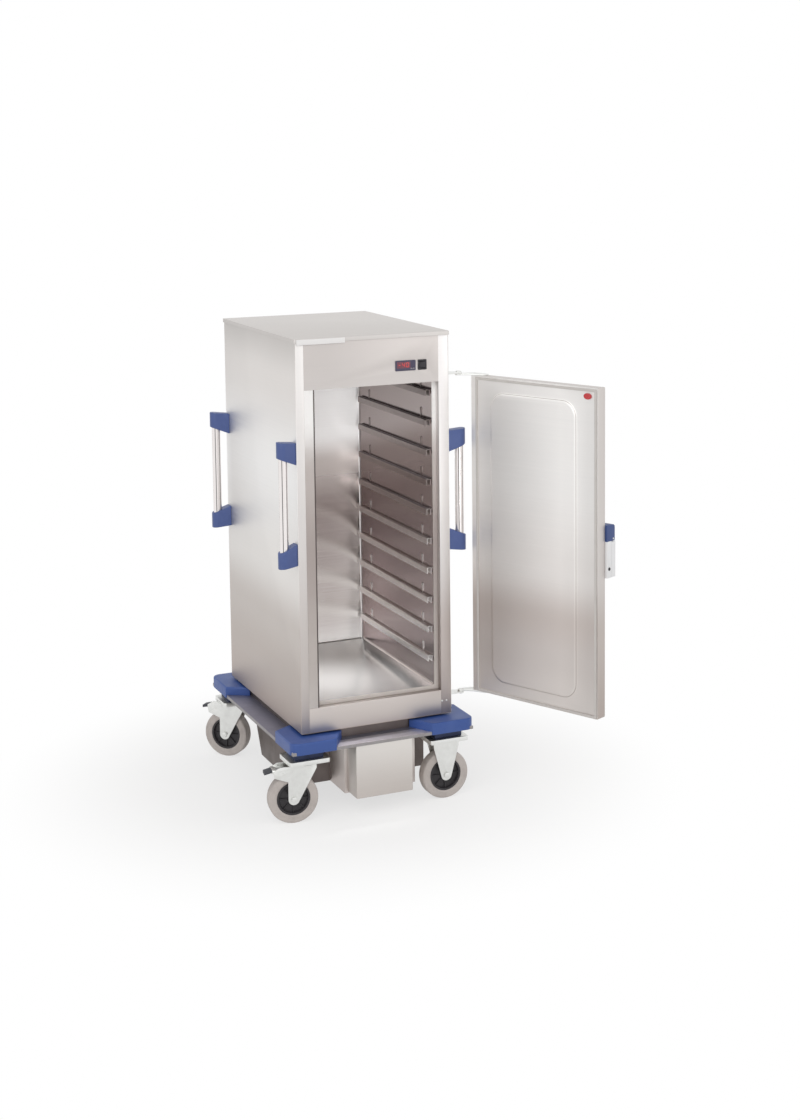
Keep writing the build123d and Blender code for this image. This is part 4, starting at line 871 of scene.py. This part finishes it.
def opened(piece):
    """Turns a piece that is drawn closed into the door's open place."""
    piece.data.transform(door_open)
    piece.data.update()
    return piece


outer_skin = folded_box("door_outer_folded", (door_x[0], door_face - door_depth, door_z[0]),
                        (door_x[1], door_face - door_skin, door_z[1]), [back_side], 0.003, door_skin,
                        door_outer_sheet)
stands_for(opened(outer_skin), "door_outer_skin")
print("door turned open by", round(math.degrees(door_turn)), "degrees")

# %% [markdown]
# ## The door's inner skin
# The inner skin is one sheet with a raised panel, pressed in so that the door stays stiff. It is
# drawn as rings of points: the door's outline, then the steps of the shoulder, each a rectangle
# with round corners. The steepest ring is darker, as the shoulder's line is in the photograph: that
# darkness is painted shade.

# %% Pressed inner skin
panel_margin_x, panel_margin_z = 0.083, 0.050
panel_radius = 0.050
press_shoulder = [(0.006, 0.0), (0.004, 0.0003), (0.0022, 0.0012), (0.0008, 0.0027),
                  (-0.0006, 0.0040), (-0.0026, 0.0047), (-0.0050, 0.0050)]
corner_steps = 12


def rounded_rectangle(half_x, half_z, radius):
    """Points round a rectangle with round corners, the same count for any size."""
    points = []
    for quarter, (sx, sz) in enumerate(((1, 1), (-1, 1), (-1, -1), (1, -1))):
        for step in range(corner_steps + 1):
            a = math.pi / 2 * (quarter + step / corner_steps)
            points.append((sx * (half_x - radius) + radius * math.cos(a),
                           sz * (half_z - radius) + radius * math.sin(a)))
    return points


bm = bmesh.new()
door_middle = ((door_x[0] + door_x[1]) / 2, (door_z[0] + door_z[1]) / 2)
half_door = ((door_x[1] - door_x[0]) / 2, (door_z[1] - door_z[0]) / 2)
half_panel = (half_door[0] - panel_margin_x, half_door[1] - panel_margin_z)
loops = [(half_door[0], half_door[1], 0.0008, 0.0)]
loops += [(half_panel[0] + grow, half_panel[1] + grow, panel_radius + grow, rise)
          for grow, rise in press_shoulder]
rings = []
for half_x, half_z, radius, rise in loops:
    rings.append([bm.verts.new((door_middle[0] + x, door_face + rise, door_middle[1] + z))
                  for x, z in rounded_rectangle(half_x, half_z, radius)])
# The steepest ring of the shoulder takes the darker finish: painted shade.
steepest_ring = 3
for number, (outer, inner) in enumerate(zip(rings, rings[1:])):
    for face in band(bm, outer, inner):
        face.material_index = 1 if number == steepest_ring else 0
bm.faces.new(rings[-1])
face_the_way(bm, lambda f: f.normal.y)
inner_skin = piece_from("door_inner_pressed", bm, door_sheet, door_shoulder_painted_shade)
modify(inner_skin, "SOLIDIFY", thickness=door_skin, offset=-1.0, use_even_offset=True)
made_plain(inner_skin)
stands_for(opened(inner_skin), "door_inner_skin")
print("door skins", len(outer_skin.data.polygons), "and", len(inner_skin.data.polygons), "faces")

# %% [markdown]
# ## The door's fittings
# The seal is extruded rubber, the plug and the latch are moulded plastic, and the hinges are
# plated steel. Their solids have the right form already, so they are copied and only get the small
# round edges that moulding and pressing leave, which catch the light as thin lines.

# %% Seal, plug, hinges and latch
softened("door_gasket", seal_grey, 0.0012, 3)
softened("door_badge_blank", badge_red, 0.0006)
for node_name in ("hinge_arms", "hinge_brackets", "hinge_pins"):
    softened(node_name, zinc, 0.0006)
softened("latch_block", latch_blue, 0.0015, 3)
softened("latch_housing", latch_grey, 0.0012, 3)
softened("latch_lever", latch_grey, 0.0012, 3)
softened("latch_lock", panel_black, 0.0004)
print("door fittings ready")

# %% [markdown]
# ## Push handles
# Each handle is an extruded aluminium tube between two moulded blocks. Six narrow grooves run
# along the tube for grip, and they read as dark lines. A tube is one round outline that dips at
# each groove, drawn out to its length. A thin dark strip in each groove is painted shade.
# One tube is drawn and the rows tree sets it at the four corners.

# %% Grooved grips and end blocks
grip_low, grip_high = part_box("handle_grips")
grip_radius = 0.014
groove_count = 6
groove_half_angle = math.radians(5.5)
groove_depth = 0.0012
groove_lean = 0.02
shade_strip_inset = 0.01
shade_strip_lap = 0.0004
grip_x, grip_y = grip_low.x + grip_radius, grip_low.y + grip_radius


def on_grip(angle, radius):
    return (grip_x + radius * math.cos(angle), grip_y + radius * math.sin(angle))


def groove_profile(number):
    """The round part after one groove and the groove's two walls and floor."""
    middle = math.tau * number / groove_count
    floor_radius = grip_radius - groove_depth
    mouth = [middle - groove_half_angle, middle + groove_half_angle]
    dip = [on_grip(mouth[0], grip_radius), on_grip(mouth[0] + groove_lean, floor_radius),
           on_grip(mouth[1] - groove_lean, floor_radius), on_grip(mouth[1], grip_radius)]
    arc_steps = 8
    sweep = math.tau / groove_count - 2 * groove_half_angle
    arc = [on_grip(mouth[1] + sweep * step / arc_steps, grip_radius)
           for step in range(1, arc_steps)]
    return dip + arc


def extruded(name, outlines, low_z, high_z, finish):
    """Closed outlines in plan, drawn out between two heights, with end faces."""
    bm = bmesh.new()
    for outline in outlines:
        lower = [bm.verts.new((x, y, low_z)) for x, y in outline]
        upper = [bm.verts.new((x, y, high_z)) for x, y in outline]
        band(bm, lower, upper)
        bm.faces.new(list(reversed(lower)))
        bm.faces.new(upper)
    bmesh.ops.recalc_face_normals(bm, faces=bm.faces)
    return piece_from(name, bm, finish)


tube_outline = [point for number in range(groove_count) for point in groove_profile(number)]
grips = extruded("handle_grips_grooved", [tube_outline], grip_low.z, grip_high.z, anodised)
# Thin dark strips in the grooves are painted shade.
shade_strip_outlines = []
half_shade_strip = groove_half_angle - shade_strip_inset
shade_strip_low, shade_strip_high = grip_radius - groove_depth - shade_strip_lap, grip_radius - groove_depth / 2
for number in range(groove_count):
    middle = math.tau * number / groove_count
    shade_strip_outlines.append([
        on_grip(middle - half_shade_strip, shade_strip_low), on_grip(middle + half_shade_strip, shade_strip_low),
        on_grip(middle + half_shade_strip, shade_strip_high), on_grip(middle - half_shade_strip, shade_strip_high)])
shade_strips = extruded("handle_grips_linings", shade_strip_outlines, grip_low.z, grip_high.z, groove_painted_shade)
for piece, finish in ((grips, anodised), (shade_strips, groove_painted_shade)):
    repeated(piece, rows_tree, finish, Columns=2, Column_step=(-2 * grip_x, 0.0, 0.0),
             Rows=2, Row_step=(0.0, -2 * grip_y, 0.0))
    stands_for(piece, "handle_grips")
softened("handle_blocks", block_blue, 0.0035, 4)
softened("corner_bumpers", bumper_blue, 0.0022, 3)
print("grips", len(grips.data.polygons), "faces")

# %% [markdown]
# ## Platform
# The platform is a folded sheet with a plinth on it that keeps the cabinet off the deck, and a
# spacer over each caster. The deck's front strip, where light reaches it, is painted pale: painted
# light. The rest of the deck lies in the cabinet's shade and is painted dark slate, and the plinth
# and spacers darker still: painted shade.

# %% Deck, plinth and spacers
platform_low, platform_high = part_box("platform")
deck_z = (0.240, 0.250)
spacer_top = 0.2475
plate, plate_fold = 0.003, 0.002
deck = folded_box("platform_deck", (platform_low.x, platform_low.y, deck_z[0]),
                  (platform_high.x, platform_high.y, deck_z[1]), [under_side], plate_fold, plate,
                  flange_steel, deck_steel_painted_shade, deck_front_painted_light)
front_strip = -0.360
cut_at(deck, (0, front_strip, 0), (0, 1, 0))
# Top faces ahead of the front strip's line take painted light, the others painted shade.
for face in deck.data.polygons:
    if face.normal.z > 0.8:
        face.material_index = 2 if face.center.y < front_strip else 1
stands_for(deck, "platform")

# The plinth takes the tray's dull tone, darkened by painted shade.
plinth_half = (0.235, 0.331)
plinth = folded_box("platform_plinth", (-plinth_half[0], -plinth_half[1], deck_z[1]),
                    (plinth_half[0], plinth_half[1], platform_high.z), [under_side],
                    plate_fold, plate, tray_steel_painted_shade)
stands_for(plinth, "platform")

caster_places = {"front_left": (-0.243, -0.338), "rear_left": (-0.243, 0.338),
                 "front_right": (0.236, -0.338), "rear_right": (0.236, 0.338)}
# Spacers take a dark navy tone, painted shade under the bumpers.
spacer_half = (0.048, 0.042)
for name, (x, y) in caster_places.items():
    spacer = folded_box(f"platform_spacer_{name}",
                        (x - spacer_half[0], y - spacer_half[1], platform_low.z),
                        (x + spacer_half[0], y + spacer_half[1], spacer_top), [top_side],
                        plate, plate, spacer_painted_shade)
    stands_for(spacer, "platform")
print("platform of", 2 + len(caster_places), "pieces")

# %% [markdown]
# ## Casters
# A wheel is a turned shape twice over: a rubber tyre with round shoulders, vulcanised onto a
# nylon centre. The centre has ribs between hub and rim, set out by the ring tree. The wheel is
# drawn at the origin with its axle along Z and then stood up at its axle.

# %% Tyre and centre
wheel_radius = 0.080
tyre_inner = 0.054
half_tyre = [(0.0190, 0.0565), (0.0190, 0.0640), (0.0185, 0.0655), (0.0190, 0.0700), (0.0190, 0.0755),
             (0.0183, 0.0778), (0.0168, 0.0793), (0.0145, 0.0799)]
tyre_profile = [(-0.0175, tyre_inner)] + [(-along, radius) for along, radius in half_tyre]
tyre_profile += [(0.0, wheel_radius)] + list(reversed(half_tyre))
tyre_profile += [(0.0175, tyre_inner), (-0.0175, tyre_inner)]
half_hub = [(0.0180, 0.0539), (0.0180, 0.0480), (0.0150, 0.0465), (0.0085, 0.0455), (0.0080, 0.0250),
            (0.0110, 0.0190), (0.0205, 0.0172), (0.0220, 0.0158), (0.0220, 0.0070)]
hub_profile = [(-along, radius) for along, radius in half_hub] + list(reversed(half_hub))
hub_profile += hub_profile[:1]
rib_count = 8
rib = (0.018, 0.047, 0.0012, 0.0145)


def hub_ribs(name):
    """Eight slim ribs from hub to rim, as deep as the rim on both sides."""
    start, end, half_width, half_depth = rib
    bm = bmesh.new()
    bmesh.ops.create_cube(bm, size=1.0)
    for vert in bm.verts:
        taper = 1.0 if vert.co.x > 0 else 0.75
        vert.co = ((start + end) / 2 + vert.co.x * (end - start), vert.co.y * 2 * half_width,
                   vert.co.z * 2 * half_depth * taper)
    bmesh.ops.bevel(bm, geom=list(bm.edges), offset=0.0005, segments=2, profile=0.5,
                    affect="EDGES")
    return repeated(piece_from(name, bm, hub_black), ring_tree, hub_black, Count=rib_count)


caster_turns = {"front_left": -8.0, "rear_left": -45.0, "front_right": 0.0, "rear_right": 0.0}
for name, angle in caster_turns.items():
    low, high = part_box("tyre_" + name)
    stand = Matrix.Translation((low + high) / 2)
    stand @= Matrix.Rotation(math.radians(angle), 4, "Z") @ Matrix.Rotation(math.radians(90), 4, "X")
    tyre = spun(tyre_profile, 64, f"tyre_{name}_moulded", tyre_grey, axis=(0, 0, 1))
    centre = spun(hub_profile, 48, f"hub_{name}_moulded", hub_black, axis=(0, 0, 1))
    ribs = hub_ribs(f"hub_{name}_ribs")
    for piece, node_name in ((tyre, "tyre_"), (centre, "hub_"), (ribs, "hub_")):
        piece.data.transform(stand)
        piece.data.update()
        stands_for(piece, node_name + name)
print("four wheels ready")

# %% [markdown]
# ## Forks, plates and pedals
# These are pressed from thick sheet and plated afterwards, so their edges are round and bright.
# The solids are copied with round edges. A brake pedal ends in a dark rubber tread: its faces
# beyond a certain distance from the swivel's axis take that finish.

# %% Forks, plates, axles and pedals
for name in caster_turns:
    softened("fork_" + name, zinc, 0.0009)
softened("swivel_plates", zinc, 0.0009)
for node_name in ("axle_front_left", "axle_rear_left", "axles_right"):
    softened(node_name, zinc, 0.0005)
pedal_tip_from = 0.112
for name in ("front_left", "rear_left"):
    pedal = softened("brake_pedal_" + name, zinc, 0.0012)
    pedal.data.materials.append(pedal_black)
    swivel = Vector(caster_places[name])
    for face in pedal.data.polygons:
        face.material_index = 1 if (face.center.xy - swivel).length > pedal_tip_from else 0
print("caster fittings ready")

# %% [markdown]
# ## Controls
# The controller shows the chamber's temperature. Each digit is made of seven bars, as on the real
# display, and a digit is a short list of the bars that are lit. The photograph is too coarse to
# read them, so the number shown is a guess.

# %% Controller, rocker and digits
softened("controller_body", bezel_slate, 0.0005)
softened("rocker_bezel", panel_black, 0.0005)
softened("rocker_paddle", panel_black, 0.0006)
for node_name in ("key_left", "key_right"):
    softened(node_name, key_grey, 0.0004)
softened("display_window", window_red, 0.0002)

lit_bars = {"4": "BCFG", "0": "ABCDEF", "-": "G"}
digit_size = (0.0095, 0.0150)
bar_width = 0.0018
window_low, window_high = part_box("display_window")


def digit_bars(bm, text, x, z, y0, y1):
    """Adds the lit bars of one digit whose lower left corner is at x, z."""
    w, h = digit_size
    b = bar_width
    places = {
        "A": (b, w - b, h - b, h), "B": (w - b, w, h / 2 + b / 2, h - b),
        "C": (w - b, w, b, h / 2 - b / 2),
        "D": (b, w - b, 0, b), "E": (0, b, b, h / 2 - b / 2), "F": (0, b, h / 2 + b / 2, h - b),
        "G": (b, w - b, h / 2 - b / 2, h / 2 + b / 2)}
    for letter in lit_bars[text]:
        x0, x1, z0, z1 = places[letter]
        cube_between(bm, (x + x0, y0, z + z0), (x + x1, y1, z + z1))


bm = bmesh.new()
digit_front, digit_back = window_low.y - 0.0002, window_low.y + 0.0005
digit_pitch = 0.0135
digit_left = window_low.x + 0.004
digit_foot = (window_low.z + window_high.z - digit_size[1]) / 2
for place, text in enumerate("-40"):
    digit_bars(bm, text, digit_left + place * digit_pitch, digit_foot, digit_front, digit_back)
digits = piece_from("display_digits", bm, digit_glow)
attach(digits, cad_nodes["display_window"]["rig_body"])
print("controls ready")

# %% [markdown]
# ## Cooling unit
# The unit hangs under the platform: a dull tray with a nose that meets the cover. What is inside
# keeps its CAD shape and gets its finish.

# %% Machine housing and inner pieces
# The housing takes the tray's dull tone, darkened by painted shade.
housing = softened("machine_housing", tray_steel_painted_shade, 0.0008)
housing.data.materials.append(nose_sheet)
nose_end = -0.199
for face in housing.data.polygons:
    if face.center.y < nose_end:
        face.material_index = 1
inner_finishes = {
    "cabinet_insulation": foam_cream, "door_core": foam_cream, "condenser": bare_aluminium,
    "evaporator": bare_aluminium, "compressor": motor_black, "condenser_fan": panel_black,
    "evaporator_fan": panel_black, "ceiling_panel": rail_sheet,
}
for node_name, finish in inner_finishes.items():
    materials = cad_nodes[node_name].data.materials
    for index in range(len(materials)):
        materials[index] = finish
print(len(inner_finishes), "inner pieces finished")

# %% [markdown]
# ## Screws
# Two pan-head screws hold the right post near its foot. One head is spun from a profile and the
# rows tree sets out the pair.

# %% Post screws
screw_place = (0.2265, 0.328)
screw_spacing = 0.0155
screw_radius, screw_height = 0.0032, 0.0016
post_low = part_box("front_posts")[0]
profile = [(0.0002, screw_radius), (-screw_height * 0.5, screw_radius * 0.96),
           (-screw_height * 0.85, screw_radius * 0.7), (-screw_height, 0.0)]
screw = spun(profile, 20, "post_screws", zinc, axis=(0, 1, 0),
             centre=(screw_place[0], post_low.y, screw_place[1]))
repeated(screw, rows_tree, zinc, Columns=2, Column_step=(screw_spacing, 0.0, 0.0),
         Rows=1, Row_step=(0.0, 0.0, 0.0))
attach(screw, cad_nodes["front_posts"]["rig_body"])
print("screws ready")

# %% [markdown]
# ## Studio
# The photograph shows the cart on plain white. The floor is a pale sheet that keeps the soft
# shadow under the cart and turns plain white further out, so that it has no edge.

# %% Floor
def shown(tree):
    """Is 1 for rays that the camera sees, straight, mirrored or through glass, and 0 for others."""
    rays = add(tree, "ShaderNodeLightPath").outputs
    direct = add(tree, "ShaderNodeMath", {"operation": "MAXIMUM"}, {
        0: rays["Is Camera Ray"], 1: rays["Is Glossy Ray"]})
    return add(tree, "ShaderNodeMath", {"operation": "MAXIMUM"}, {
        0: direct.outputs[0], 1: rays["Is Transmission Ray"]}).outputs[0]


floor_mesh = bpy.data.meshes.new("studio_floor")
floor_size = 30.0
corners = [(-floor_size, -floor_size, 0), (floor_size, -floor_size, 0), (floor_size, floor_size, 0),
           (-floor_size, floor_size, 0)]
floor_mesh.from_pydata(corners, [], [(0, 1, 2, 3)])
floor = bpy.data.objects.new("studio_floor", floor_mesh)
bpy.context.scene.collection.objects.link(floor)

paper = bpy.data.materials.new("paper_floor_white")
paper.use_nodes = True
tree = paper.node_tree
tree.nodes.clear()
place = add(tree, "ShaderNodeTexCoord").outputs["Object"]
distance = add(tree, "ShaderNodeVectorMath", {"operation": "LENGTH"}, {0: place})
far = add(tree, "ShaderNodeMapRange", {"interpolation_type": "SMOOTHSTEP"}, {
    "Value": distance.outputs["Value"], "From Min": 0.5, "From Max": 1.2, "To Min": 0.65, "To Max": 1.0})
share = add(tree, "ShaderNodeMath", {"operation": "MULTIPLY"}, {
    0: shown(tree), 1: far.outputs["Result"]})
matt = add(tree, "ShaderNodeBsdfDiffuse", inputs={"Color": linear("#F7F6F5")})
white = add(tree, "ShaderNodeEmission", inputs={"Strength": 1.0})
mixed = add(tree, "ShaderNodeMixShader", inputs={
    "Fac": share.outputs[0], 1: matt.outputs["BSDF"], 2: white.outputs["Emission"]})
add(tree, "ShaderNodeOutputMaterial", inputs={"Surface": mixed.outputs["Shader"]})
floor_mesh.materials.append(paper)
print("floor ready")

# %% [markdown]
# ## World and lamps
# The world is even, and white to the camera and in mirrors. A large soft key lamp stands ahead on
# the left and a weaker one on the right, so that a colour renders about as it is written. In the
# photograph the chamber is lit as well, so one small lamp is aimed in from the front and another
# hangs under its ceiling. They stand in for light that the bright walls pass on.

# %% World and lamps
world = bpy.data.worlds.new("studio")
bpy.context.scene.world = world
world.use_nodes = True
tree = world.node_tree
tree.nodes.clear()
strength = add(tree, "ShaderNodeMapRange", inputs={
    "Value": shown(tree), "To Min": 0.6, "To Max": 1.0})
sky = add(tree, "ShaderNodeBackground", inputs={
    "Color": linear("#FFFFFF"), "Strength": strength.outputs["Result"]})
add(tree, "ShaderNodeOutputWorld", inputs={"Surface": sky.outputs["Background"]})

# Each lamp: its place, the point it is aimed at, its side in metres, its watts and its spread.
lamps = {
    "key_softbox": ((-3.2, -3.6, 3.6), (0.0, 0.0, 0.8), 4.0, 80.0, 180),
    "fill_softbox": ((3.4, -3.0, 2.4), (0.0, 0.0, 0.8), 4.0, 30.0, 180),
    "chamber_softbox": ((0.02, -3.0, 0.62), (0.12, 0.296, 1.20), 0.3, 0.045, 11),
    "floor_softbox": ((-0.04, -0.10, 1.37), (-0.08, -0.14, 0.378), 0.14, 0.5, 32),
}
for name, (place, target, size, watts, spread) in lamps.items():
    light = bpy.data.lights.new(name, "AREA")
    light.shape = "SQUARE"
    light.size = size
    light.energy = watts
    light.spread = math.radians(spread)
    lamp = bpy.data.objects.new(name, light)
    lamp.location = place
    lamp.rotation_euler = (Vector(target) - Vector(place)).to_track_quat("-Z", "Y").to_euler()
    bpy.context.scene.collection.objects.link(lamp)
bpy.context.scene.view_settings.view_transform = "Standard"
print(len(lamps), "lamps ready")
